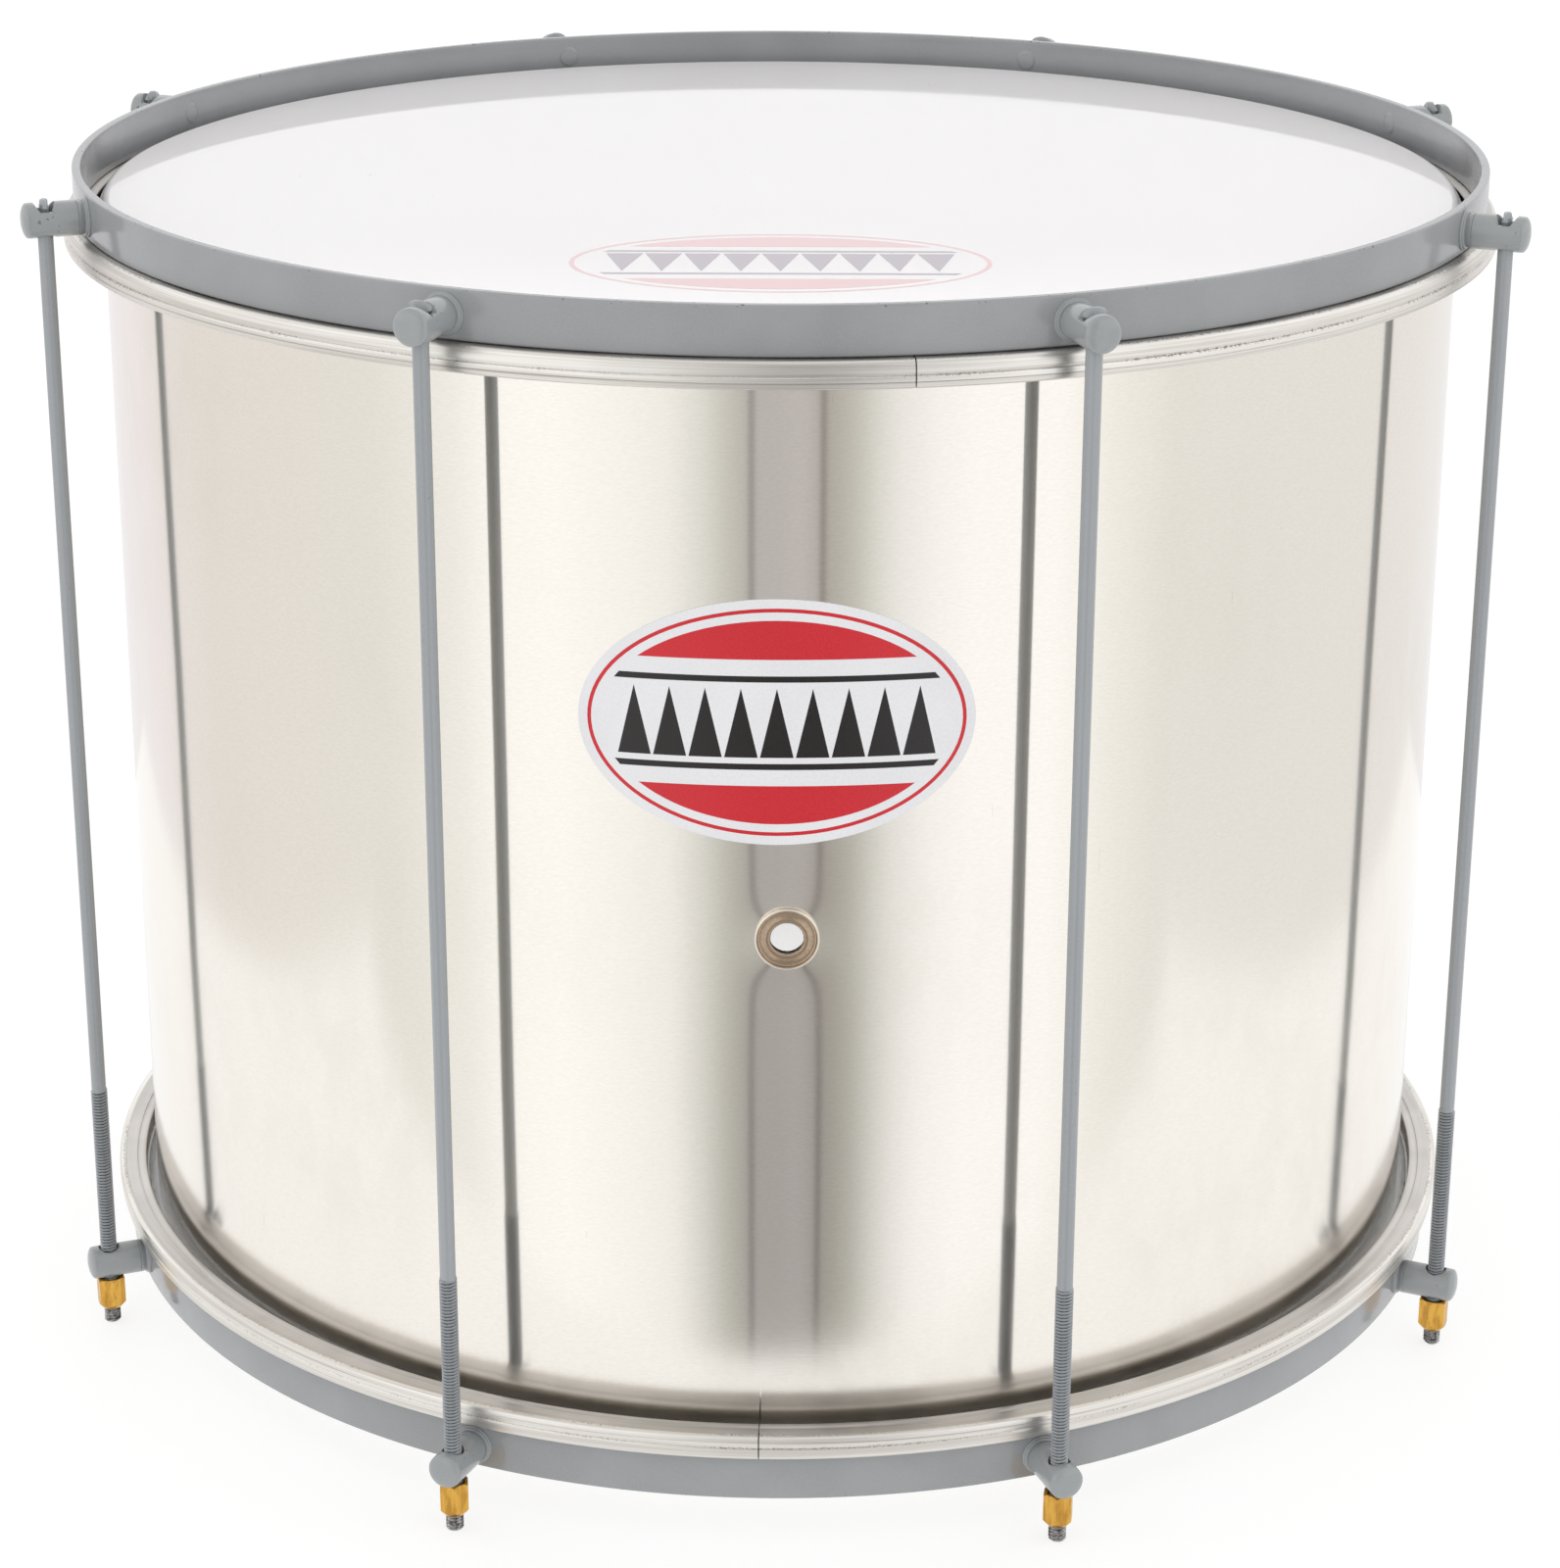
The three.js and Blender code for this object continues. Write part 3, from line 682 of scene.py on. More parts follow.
def milky_film(look, name, depth, colour, clear=1.0):
    """Glossy film that lets light through, or its ink, with a faint cloud, small scuffs and painted shade in
    the gap beside the shell.
    """
    r = recipe(name)
    cloud = r.noise(9, 3)
    scuffs = r.times(r.ease(r.noise((500, 60, 60), 1), 0.76, 0.80), r.ease(cloud, 0.5, 0.62, 0.0, 0.6))
    film = r.mix(scuffs, r.mix(cloud, colour, toned(colour, 1.02)), toned(colour, 0.82))
    # Painted shade: past the shell's edge the film turns near black, where it runs down into the gap.
    gap = r.ease(r.radius(), SHELL_RADIUS, SHELL_RADIUS + 2 * MM)
    return r.look(
        Base_Color=r.mix(gap, film, look.collar_shade),
        Roughness=r.ease(cloud, 0.3, 0.7, look.roughness, look.roughness + 0.03),
        IOR=1.55,
        Subsurface_Weight=clear,
        Subsurface_Radius=(1.0, 1.0, 1.0),
        Subsurface_Scale=depth,
        Normal=r.bump(r.noise(140), 0.004 * MM, 0.25),
    )


def enamel(name, look, colour, chips, clouds=30):
    """Semi-gloss grey paint with orange peel.

    chips gives the share of bare spots at each place, and clouds the scale of the paint's unevenness.
    """
    r = recipe(name)
    cloud = r.noise(clouds, 3)
    chipped = r.times(r.ease(r.noise(620, 3, 0.6), 0.64, 0.67), chips(r))
    paint = r.mix(r.ease(cloud, 0.3, 0.7), toned(colour, 0.90), colour)
    paint = r.mix(r.ease(r.noise(1700, 1), 0.35, 0.7, 0.0, 0.35), paint, toned(colour, 1.08))
    return r.look(
        Base_Color=r.mix(chipped, paint, look.bare),
        Roughness=r.ease(cloud, 0.3, 0.7, look.roughness - 0.04, look.roughness + 0.06),
        Specular_IOR_Level=look.shine,
        Normal=r.bump(r.less(r.noise(420), r.times(chipped, 2.0)), look.peel, 0.6),
    )


def rim_chips(r):
    """Chips along the free and seated edges of a counterhoop."""
    rim = (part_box("top_counterhoop")[1].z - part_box("bottom_counterhoop")[0].z) / 2
    edges = r.ease(r.level(), rim - 1.3 * MM, rim - 0.2 * MM)
    return r.times(edges, r.ease(r.noise(22, 1), 0.40, 0.52))


def lug_chips(r):
    """Chips around the rod, where the blade and the nut have rubbed."""
    rubbed = r.fade(r.apart(r.radius(), ROD_CIRCLE), 3 * MM, 7 * MM, 0.9)
    return r.times(rubbed, r.ease(r.noise(90, 1), 0.45, 0.6))


def thread_chips(r):
    """Chips on the thread, and fewer on the plain rod above it."""
    most_on_thread = r.ease(r.height(), 100 * MM, 102 * MM, 0.7, 0.15)
    return r.times(most_on_thread, r.ease(r.noise(60, 1), 0.55, 0.68))


def turned_brass(look):
    """Plain brass with marks along the flats, duller in patches."""
    r = recipe("turned_brass")
    marks = r.noise((1500, 1500, 120), 3)
    patches = r.noise((330, 330, 90), 3, 0.6)
    dull = r.ease(r.plus(r.times(marks, 0.3), r.times(patches, 0.7)), 0.40, 0.62)
    pits = r.ease(r.noise(700), 0.66, 0.72)
    return r.look(
        Base_Color=r.mix(r.most(dull, pits), look.colour, look.tarnish),
        Metallic=1.0,
        Roughness=r.ease(marks, 0.3, 0.7, look.roughness - 0.08, look.roughness + 0.14),
        Normal=r.bump(marks, 0.02 * MM, 0.5),
    )


def bare_steel(look):
    """Worn steel thread."""
    r = recipe("bare_steel")
    # Here the noise marks only grime on the steel.
    grime_and_shade = r.noise(700, 3)
    return r.look(
        Base_Color=r.mix(r.ease(grime_and_shade, 0.4, 0.7), look.steel, (0.16, 0.15, 0.14)),
        Metallic=1.0,
        Roughness=r.ease(grime_and_shade, 0.3, 0.7, 0.28, 0.5),
        Normal=r.bump(grime_and_shade, 0.02 * MM, 0.5),
    )


def warm_nickel(look):
    """Plated ring with fine turning lines around the vent's own axis, with a painted highlight on the rolled
    bead and painted light on the wall inside the bore.
    """
    r = recipe("warm_nickel")
    x, y, z = r.parts(r.point())
    across = r.plus(r.times(x, -math.sin(VENT_BEARING)), r.times(y, math.cos(VENT_BEARING)))
    out = r.hypot(across, r.less(z, VENT.z))
    lines = r.add("TexNoise", {"W": r.times(out, 9000), "Detail": 2.0}, noise_dimensions="1D")
    haze = r.noise(420, 3)
    worn = r.noise(1500, 3)
    # Painted highlight and painted light: the plate turns paler on the rolled bead and on the wall inside
    # the bore.
    rims = r.most(r.ease(out, VENT_BORE + 4.7 * MM, VENT_BORE + 4.95 * MM),
                  r.fade(out, VENT_BORE + 0.1 * MM, VENT_BORE + 0.25 * MM))
    plate = r.mix(r.ease(haze, 0.4, 0.7), look.colour, toned(look.colour, 0.86))
    plate = r.mix(r.ease(worn, 0.35, 0.65), toned(look.colour, 0.82), plate)
    return r.look(
        Base_Color=r.mix(rims, plate, look.rim),
        Metallic=1.0,
        Roughness=r.ease(haze, 0.3, 0.7, look.roughness - 0.06, look.roughness + 0.06),
        Normal=r.bump(r.plus(lines, r.times(worn, 2.0)), 0.008 * MM, 0.6),
    )


def moulded_plastic(look):
    """Matt plastic with a fine moulded grain."""
    r = recipe("moulded_plastic")
    grain = r.noise(1100)
    return r.look(
        Base_Color=r.mix(grain, look.plastic, toned(look.plastic, 1.25)),
        Roughness=r.ease(grain, 0.3, 0.7, 0.5, 0.65),
        Normal=r.bump(grain, 0.03 * MM, 0.6),
    )


def printed_vinyl(name, colour):
    """Glossy vinyl with a faint grain and slight unevenness of ink."""
    r = recipe(name)
    grain = r.noise(900)
    return r.look(
        Base_Color=r.mix(r.ease(r.noise(40), 0.3, 0.7, 0.0, 0.5), colour, toned(colour, 0.93)),
        Roughness=r.ease(grain, 0.3, 0.7, 0.24, 0.32),
        Normal=r.bump(grain, 0.008 * MM, 0.4),
    )


def floor_paper(look):
    """White paper lit from under it as well, which shows white and keeps the drum's soft shadow."""
    r = recipe("floor_paper")
    tone = (look.floor_tone,) * 3
    return r.look(
        Base_Color=r.mix(r.noise(300), tone, toned(tone, 1.02)),
        Roughness=0.9,
        Specular_IOR_Level=0.0,
        Emission_Color=(1, 1, 1, 1),
        Emission_Strength=look.floor_glow,
    )


# Stage

# Bearings from the camera in degrees, with the tent's brightness there as red, green and blue.
STUDIO_TONES = (
    (-180.0, (0.70, 0.70, 0.70)), (-171.0, (0.93, 0.92, 0.93)), (-138.0, (0.93, 0.90, 0.93)),
    (-113.0, (0.84, 0.82, 0.80)), (-70.0, (0.86, 0.855, 0.83)), (-55.0, (0.95, 0.955, 0.94)),
    (-47.0, (1.08, 1.09, 1.09)), (-37.0, (1.10, 1.11, 1.11)), (-25.0, (1.03, 1.04, 1.03)),
    (-18.0, (0.96, 0.97, 0.96)), (-12.2, (0.79, 0.80, 0.78)), (-9.0, (0.655, 0.66, 0.63)),
    (-7.2, (0.60, 0.60, 0.57)), (-5.4, (0.555, 0.545, 0.525)), (-4.2, (0.545, 0.53, 0.53)),
    (0.0, (0.555, 0.535, 0.54)), (3.2, (0.58, 0.56, 0.57)), (5.2, (0.55, 0.53, 0.53)),
    (7.2, (0.475, 0.455, 0.44)), (8.4, (0.50, 0.485, 0.46)), (10.2, (0.55, 0.54, 0.51)),
    (12.9, (0.635, 0.64, 0.61)), (16.0, (0.80, 0.81, 0.79)), (19.2, (0.92, 0.93, 0.93)),
    (25.5, (1.03, 1.04, 1.05)), (32.0, (1.09, 1.10, 1.11)), (46.0, (1.10, 1.11, 1.12)),
    (56.0, (0.96, 0.97, 0.95)), (67.0, (0.86, 0.86, 0.84)), (115.0, (0.86, 0.85, 0.84)),
    (171.0, (0.93, 0.92, 0.93)), (179.9, (0.70, 0.70, 0.70)),
)
STUDIO_FULL = 1.2   # the brightness that stands as one in the colour ramp
STUDIO_SEAMS = (-4.55, 6.95)   # bearings in degrees of two thin darker lines
STUDIO_SEAM_TONE = 0.62


def studio_world(look):
    """A white tent with a narrow opening where the camera stands, plain white to the camera itself.

    Below the horizon it gives what bright metal shows, above it the light from the sides and the top.
    """
    world = bpy.data.worlds.new("studio")
    world.use_nodes = True
    bpy.context.scene.world = world
    r = Recipe(world.node_tree)
    x, y, z = r.parts(world.node_tree.nodes.new("ShaderNodeTexCoord").outputs["Generated"])
    bearing = r.math("WRAP", r.less(r.math("ARCTAN2", y, x), look.azimuth), math.pi, -math.pi)
    off = r.math("ABSOLUTE", bearing)

    # Below the horizon: the tones around the drum, darker in the opening and along the seams.
    ramp = world.node_tree.nodes.new("ShaderNodeValToRGB")
    r.feed(ramp.inputs[0], r.plus(r.math("DIVIDE", bearing, TAU), 0.5))
    stops = ramp.color_ramp.elements
    while len(stops) < len(STUDIO_TONES):
        stops.new(0.5)
    for stop, (degrees, tone) in zip(stops, STUDIO_TONES):
        stop.position = degrees / 360 + 0.5
        stop.color = (*(value / STUDIO_FULL for value in tone), 1.0)

    opening = r.fade(r.apart(bearing, look.opening_turn), 0.10, 0.40)
    dimmer = r.times(opening, r.fade(z, -0.40, -0.27, look.opening_fall))
    left, right = (r.line(bearing, math.radians(at), math.radians(0.22), math.radians(0.6))
                   for at in STUDIO_SEAMS)
    seams = r.ease(r.most(left, right), 0.0, 1.0, 1.0, STUDIO_SEAM_TONE)
    gain = r.times(r.less(1.0, dimmer), seams, STUDIO_FULL)
    low = r.add("VectorMath", {0: ramp.outputs[0], "Scale": gain}, operation="SCALE")

    # Above it: an even top, boxes at the front sides, a window low at the back and the dark opening.
    boxes = r.times(r.ease(off, 0.2, 0.6), r.fade(off, 1.6, 2.4, look.box_light), r.fade(z, 0.45, 0.80))
    window = r.times(r.ease(off, 2.2, 2.5), r.ease(z, 0.22, 0.32), r.fade(z, 0.62, 0.75, look.window_light))
    shaded = r.times(r.fade(r.apart(bearing, 0.14), 0.16, 0.40), r.fade(z, 0.62, 0.80, look.opening_depth))
    high = r.plus(r.times(r.plus(look.top_light, boxes), r.less(1.0, shaded)), window)

    light = r.mix(r.ease(z, -0.04, 0.10), low, high)
    seen = world.node_tree.nodes.new("ShaderNodeLightPath").outputs["Is Camera Ray"]
    background = world.node_tree.nodes["Background"]
    r.feed(background.inputs["Color"], r.mix(seen, light, (1, 1, 1)))
    background.inputs["Strength"].default_value = 1.0


def photo_camera(look):
    """The camera at the photograph's place."""
    level = around(look.azimuth + math.pi - look.yaw, math.cos(look.tilt))
    forward = level - UP * math.sin(look.tilt)
    right = forward.cross(UP).normalized()
    above = right.cross(forward)
    across = right * math.cos(look.roll) + above * math.sin(look.roll)
    upwards = above * math.cos(look.roll) - right * math.sin(look.roll)
    matrix = Matrix((across, upwards, -forward)).transposed().to_4x4()
    matrix.translation = around(look.azimuth, look.distance, look.height)
    camera = linked("photo_camera", bpy.data.cameras.new("photo_camera"))
    camera.data.lens = look.lens
    camera.data.clip_end = 50
    camera.matrix_world = matrix
    bpy.context.scene.camera = camera


class SURDO_OT_add_stage(bpy.types.Operator):
    """Adds the paper floor, the studio light and the camera"""

    bl_idname = "surdo.add_stage"
    bl_label = "Stage"

    def execute(self, context):
        look = context.scene.surdo_stage
        paper = floor_paper(look)

        def off_table(face):
            place = face.calc_center_median()
            return abs(place.x) > look.table_half or not -look.table_front < place.y < look.table_back

        table_edges = (
            Vector((look.table_half, 0, 0)), Vector((-look.table_half, 0, 0)),
            Vector((0, -look.table_front, 0)), Vector((0, look.table_back, 0)),
        )
        for name, on_table in (("paper_floor", False), ("lit_table", True)):
            bm = bmesh.new()
            bmesh.ops.create_grid(bm, x_segments=1, y_segments=1, size=look.floor_reach)
            for edge in table_edges:
                split_faces(bm, edge, edge.normalized())
            spare = [face for face in bm.faces if off_table(face) == on_table]
            bmesh.ops.delete(bm, geom=spare, context="FACES")
            part = linked(name, to_mesh(bm))
            part.data.materials.append(paper)
            part.visible_glossy = on_table
        studio_world(look)
        photo_camera(look)
        context.scene.view_settings.view_transform = "Standard"
        return {"FINISHED"}


# Shell

# The part of the shell around the vent that is made anew, as columns to each side and as a height.
WINDOW_COLUMNS = 10
WINDOW_HALF = 56 * MM
WINDOW_RINGS = 24


def sheet_rise(look, across, up):
    """How far the sheet stands out at a place that is across and up from the vent's middle."""
    def hill(rise, width, drop=0.0):
        return rise * math.exp(-(across ** 2 + (up + drop) ** 2) / (2 * width ** 2))
    return hill(look.swell, look.swell_width) + hill(look.lift, look.lift_width, look.lift_drop)


def from_vent(point):
    """A place on the shell as the bearing from the vent, the distance across and the height."""
    bearing = (bearing_of(point) - VENT_BEARING + math.pi) % TAU - math.pi
    return bearing, bearing * SHELL_RADIUS, point.z - VENT.z


def in_window(point, look, slack=1.0):
    """Whether a place is in the part of the shell that is made anew."""
    bearing, _, up = from_vent(point)
    return abs(bearing) < slack * WINDOW_COLUMNS * TAU / look.columns and abs(up) < slack * WINDOW_HALF


def shell_outline():
    """The sheet's outer line, from the lower lip over both rolled edges to the upper lip."""
    corner = SHELL_RADIUS - SHELL_EDGE
    return [
        (corner - SHELL_LIP, SHELL_LOW),
        *arc(corner, SHELL_LOW + SHELL_EDGE, SHELL_EDGE, -QUARTER, 0, 6),
        (SHELL_RADIUS, VENT.z - WINDOW_HALF),
        (SHELL_RADIUS, VENT.z + WINDOW_HALF),
        *arc(corner, SHELL_HIGH - SHELL_EDGE, SHELL_EDGE, 0, QUARTER, 6),
        (corner - SHELL_LIP, SHELL_HIGH),
    ]


def window_rim(bm):
    """The open edges around the vent, without those of the shell's ends."""
    near_vent = 1.5 * WINDOW_HALF
    return [edge for edge in bm.edges
            if edge.is_boundary and abs(edge.verts[0].co.z - VENT.z) < near_vent]


def open_vent(bm, look):
    """Replaces the faces around the vent with rings of faces that end at a round hole."""
    inside = [face for face in bm.faces if in_window(face.calc_center_median(), look)]
    bmesh.ops.delete(bm, geom=inside, context="FACES")
    upright = [edge for edge in window_rim(bm)
               if abs(edge.verts[0].co.z - edge.verts[1].co.z) > WINDOW_HALF]
    bmesh.ops.subdivide_edges(bm, edges=upright, cuts=2 * WINDOW_COLUMNS - 1)
    rim = window_rim(bm)
    centre = Matrix.Translation(around(VENT_BEARING, SHELL_RADIUS, VENT.z))
    outwards = Matrix.Rotation(VENT_BEARING, 4, "Z") @ Matrix.Rotation(QUARTER, 4, "Y")
    hole = set(bmesh.ops.create_circle(
        bm, segments=len(rim), radius=VENT_HOLE, matrix=centre @ outwards,
    )["verts"])
    rim += list({edge for vert in hole for edge in vert.link_edges})
    bridge = bmesh.ops.bridge_loops(bm, edges=rim)["edges"]
    spokes = [edge for edge in bridge if len(hole & set(edge.verts)) == 1]
    bmesh.ops.subdivide_edges(bm, edges=spokes, cuts=WINDOW_RINGS, use_grid_fill=True)
    for vert in bm.verts:
        if in_window(vert.co, look, 1.01):
            _, across, up = from_vent(vert.co)
            radius = SHELL_RADIUS + sheet_rise(look, across, up)
            vert.co = flat_way(vert.co) * radius + UP * vert.co.z


def vent_normals(mesh, look):
    """Normals of the swollen sheet around the vent, from its formula. Zero keeps Blender's own."""
    step = 0.05 * MM
    normals = []
    for vert in mesh.vertices:
        outside = vert.co.xy.length > SHELL_RADIUS - 0.5 * SHELL_WALL
        if not outside or not in_window(vert.co, look, 1.05):
            normals.append((0, 0, 0))
            continue
        _, across, up = from_vent(vert.co)
        here = sheet_rise(look, across, up)
        over = (sheet_rise(look, across + step, up) - here) / step
        above = (sheet_rise(look, across, up + step) - here) / step
        flat = flat_way(vert.co)
        normals.append((flat - UP.cross(flat) * over - UP * above).normalized())
    mesh.normals_split_custom_set_from_vertices(normals)


class SURDO_OT_add_shell(bpy.types.Operator):
    """Adds the rolled sheet with its two bearing edges and the vent hole"""

    bl_idname = "surdo.add_shell"
    bl_label = "Shell"

    def execute(self, context):
        look = context.scene.surdo_shell
        bm = bmesh.new()
        spin(bm, chain(bm, shell_outline(), VENT_BEARING), look.columns)
        open_vent(bm, look)
        bmesh.ops.recalc_face_normals(bm, faces=bm.faces)
        widest = max(bm.faces, key=lambda face: face.calc_area())
        if widest.normal.dot(flat_way(widest.calc_center_median())) < 0:
            bmesh.ops.reverse_faces(bm, faces=bm.faces)
        bmesh.ops.solidify(bm, geom=bm.faces, thickness=SHELL_WALL)
        mesh = to_mesh(bm)
        vent_normals(mesh, look)
        add_piece(mesh, "shell_sheet", DRUM, [rolled_aluminium(look)], ["shell"])
        return {"FINISHED"}


# Heads

FILM_COLUMNS = 256
FRIEZE_TEETH = 9
INK_THICKNESS = 0.03 * MM
INK_GAP = 0.01 * MM   # keeps the ink's underside clear of the film


def film_outline(thickness):
    """The film from the head's middle over the bearing edge and down into the flesh hoop."""
    low, top = (corner.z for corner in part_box("top_head_film"))
    bend = SHELL_RADIUS - SHELL_EDGE
    bend_z = SHELL_HIGH - SHELL_EDGE
    slot = FLESH_TOP - 2.2 * MM
    tail = FLESH_INNER + 3.1 * MM + thickness
    return [
        (0, top), (0.5 * bend, top), *arc(bend, bend_z, top - bend_z, QUARTER, math.radians(33), 7),
        (FLESH_INNER - 0.5 * MM, slot), (tail, slot), (tail, low),
    ]


def film_mesh(look, end):
    bm = bmesh.new()
    spin(bm, chain(bm, film_outline(look.thickness)), FILM_COLUMNS)
    face_up(bm, min(bm.faces, key=lambda face: face.calc_center_median().xy.length_squared))
    bmesh.ops.solidify(bm, geom=bm.faces, thickness=look.thickness)
    return at_end(to_mesh(bm, sharp=50), end)


def oval_motif(width, height, margin, line, spacing):
    """A flat oval in the XY plane with a thin ring, two crescents and a row of triangles.

    Its faces have index 0 for the ground, 1 for the ring and crescents, and 2 for the triangles.
    """
    bm = bmesh.new()
    bmesh.ops.create_circle(bm, cap_ends=True, segments=96, radius=1.0)
    bmesh.ops.scale(bm, vec=(width / 2, height / 2, 1), verts=bm.verts)
    inner = list(bm.faces)
    for offset, index in ((margin, 0), (line, 1), (2.2 * line, 0)):
        rim = bmesh.ops.inset_region(
            bm, faces=inner, thickness=offset, use_boundary=True, use_even_offset=True,
        )["faces"]
        for face in rim:
            face.material_index = index
    field_x = width / 2 - margin - 3.2 * line
    field_y = height / 2 - margin - 3.2 * line
    chord, frieze, bar = 0.62 * field_y, 0.34 * field_y, 0.06 * field_y
    reach = 0.90 * field_x
    tooth = 2 * reach / FRIEZE_TEETH
    gap = 0.03 * tooth

    def field(place):
        return (place.x / field_x) ** 2 + (place.y / field_y) ** 2 < 1.0

    def band(place):
        return field(place) and abs(place.y) < frieze

    for level in (chord, frieze + 2 * bar, frieze + bar, frieze):
        split_faces(bm, (0, level, 0), (0, 1, 0), field)
        split_faces(bm, (0, -level, 0), (0, 1, 0), field)
    for i in range(FRIEZE_TEETH + 1):
        split_faces(bm, (i * tooth - reach, 0, 0), (1, 0, 0), band)
    for i in range(FRIEZE_TEETH):
        left = i * tooth - reach
        for foot, lean in ((left + gap, 1), (left + tooth - gap, -1)):
            slope = Vector((2 * frieze, -lean * (tooth / 2 - gap), 0)).normalized()
            split_faces(
                bm, (foot, -frieze, 0), slope,
                lambda place: band(place) and left < place.x < left + tooth,
            )
    for face in bm.faces:
        place = face.calc_center_median()
        level = abs(place.y)
        if not field(place):
            continue
        if level > chord:
            face.material_index = 1
        elif frieze + bar < level < frieze + 2 * bar:
            face.material_index = 2
        elif level < frieze and abs(place.x) < reach:
            aside = abs((place.x + reach) % tooth - tooth / 2)
            peak = frieze - 2 * frieze * aside / (tooth / 2 - gap)
            face.material_index = 2 if place.y < peak else 0
    steps = max(2, math.ceil(width / spacing))
    for i in range(1, steps):
        split_faces(bm, (width * (i / steps - 0.5), 0, 0), (1, 0, 0))
    bmesh.ops.dissolve_degenerate(bm, dist=0.02 * MM, edges=bm.edges)
    bmesh.ops.recalc_face_normals(bm, faces=bm.faces)
    face_up(bm, next(iter(bm.faces)))
    return bm


class SURDO_OT_add_heads(bpy.types.Operator):
    """Adds the two film heads and the pale print on the upper one"""

    bl_idname = "surdo.add_heads"
    bl_label = "Heads"

    def execute(self, context):
        look = context.scene.surdo_heads
        films = (milky_film(look, "batter_film", look.batter_depth, look.colour),
                 milky_film(look, "resonant_film", look.resonant_depth, look.resonant))
        for end, film in zip(ENDS, films):
            add_piece(film_mesh(look, end), f"{end}_film", DRUM, [film], [f"{end}_head_film"])
        bm = oval_motif(look.print_width, look.print_height, margin=0.5 * MM, line=1.6 * MM, spacing=50 * MM)
        ground = [face for face in bm.faces if face.material_index == 0]
        bmesh.ops.delete(bm, geom=ground, context="FACES")
        for face in bm.faces:
            face.material_index -= 1
        bmesh.ops.solidify(bm, geom=bm.faces, thickness=INK_THICKNESS)
        azimuth = context.scene.surdo_stage.azimuth
        ink_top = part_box("top_head_film")[1].z + INK_GAP + INK_THICKNESS
        place = around(azimuth, look.print_reach, ink_top)
        matrix = Matrix.Translation(place) @ Matrix.Rotation(azimuth - QUARTER, 4, "Z")
        bmesh.ops.transform(bm, matrix=matrix, verts=bm.verts)
        inks = [milky_film(look, name, look.batter_depth, colour, 0.0)
                for name, colour in (("ring_ink", look.ring_ink), ("frieze_ink", look.frieze_ink))]
        add_piece(to_mesh(bm), "head_print", DRUM, inks)
        return {"FINISHED"}


# Flesh hoops

def flesh_outline():
    """The channel's section: a slot towards the shell, a fold line outside and a rolled inner edge."""
    wall, slot = 1.2, 2.1
    return loop([
        *near(FLESH_INNER, FLESH_LOW, (0, 0.5), (0.4, 0.08), (1.0, 0), (2.9, 0.02), (3.15, 0.3),
              (3.45, 0.3), (3.7, 0)),
        *near(FLESH_OUTER, FLESH_LOW, (-0.8, 0), (-0.25, 0.2), (-0.02, 0.7), (0, 1.9), (-0.28, 2.1),
              (0, 2.3), (0, 3.9)),
        *near(FLESH_OUTER, FLESH_LOW + FOLD_RISE, (-0.1, -0.1), (-0.45, 0), (-0.22, 0.25), (-0.2, 1.4),
              (-0.35, 2.6), (-0.7, 3.9)),
        *near(FLESH_OUTER, FLESH_TOP, (-1.1, -0.55), (-1.7, -0.12), (-2.4, 0)),
        *near(FLESH_INNER, FLESH_TOP, (0.5, 0), (0, -0.4), (0, -wall)),
        *near(FLESH_OUTER, FLESH_TOP, (-wall - 0.6, -wall), (-wall, -wall - 1.0)),
        *near(FLESH_OUTER, FLESH_LOW, (-wall, wall)),
        *near(FLESH_INNER, FLESH_LOW, (wall, wall)),
        *near(FLESH_INNER, FLESH_TOP, (wall, -wall - slot), (0, -wall - slot)),
    ])


def channel_mesh(look, end, seam):
    """A ring of channel whose ends meet with a thin gap at the seam."""
    gap = look.seam / FLESH_OUTER
    bearing = seam if end == "top" else -seam
    bm = bmesh.new()
    spin(bm, chain(bm, flesh_outline(), bearing + gap / 2), look.columns, angle=TAU - gap)
    bmesh.ops.holes_fill(bm, edges=[edge for edge in bm.edges if edge.is_boundary], sides=0)
    bmesh.ops.recalc_face_normals(bm, faces=bm.faces)
    return at_end(to_mesh(bm, sharp=50), end)


class SURDO_OT_add_flesh_hoops(bpy.types.Operator):
    """Adds the two channel rings and finishes the locking rings inside them"""

    bl_idname = "surdo.add_flesh_hoops"
    bl_label = "Flesh hoops"

    def execute(self, context):
        look = context.scene.surdo_rings
        metal = drawn_aluminium(look)
        plastic = moulded_plastic(look)
        for end, seam in zip(ENDS, (look.top_seam, look.bottom_seam)):
            mesh = channel_mesh(look, end, seam)
            add_piece(mesh, f"{end}_channel", DRUM, [metal], [f"{end}_flesh_hoop"])
            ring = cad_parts[f"{end}_lock_ring"]
            ring.data.materials.clear()
            ring.data.materials.append(plastic)
        return {"FINISHED"}


# Counterhoops

class SURDO_OT_add_counterhoops(bpy.types.Operator):
    """Adds the two flat bars on edge, bent round, with softened edges"""

    bl_idname = "surdo.add_counterhoops"
    bl_label = "Counterhoops"

    def execute(self, context):
        look = context.scene.surdo_hoops
        grey = context.scene.surdo_enamel
        paint = enamel("hoop_enamel", grey, grey.hoop, rim_chips)
        for end in ENDS:
            node = f"{end}_counterhoop"
            low, high = (corner.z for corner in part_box(node))
            section = [(HOOP_INNER, low), (HOOP_OUTER, low), (HOOP_OUTER, high), (HOOP_INNER, high)]
            bm = turned(loop(section), look.columns)
            rims = [edge for edge in bm.edges if abs(edge.verts[0].co.z - edge.verts[1].co.z) < WELD
                    and edge.calc_face_angle() > QUARTER / 2]
            round_edges(bm, rims, look.edge, segments=4)
            add_piece(to_mesh(bm, sharp=60), f"{end}_hoop", DRUM, [paint], [node])
        return {"FINISHED"}


# Lugs

LIP_ROUNDING = 0.22 * MM
LIP_ANGLE = math.radians(32)


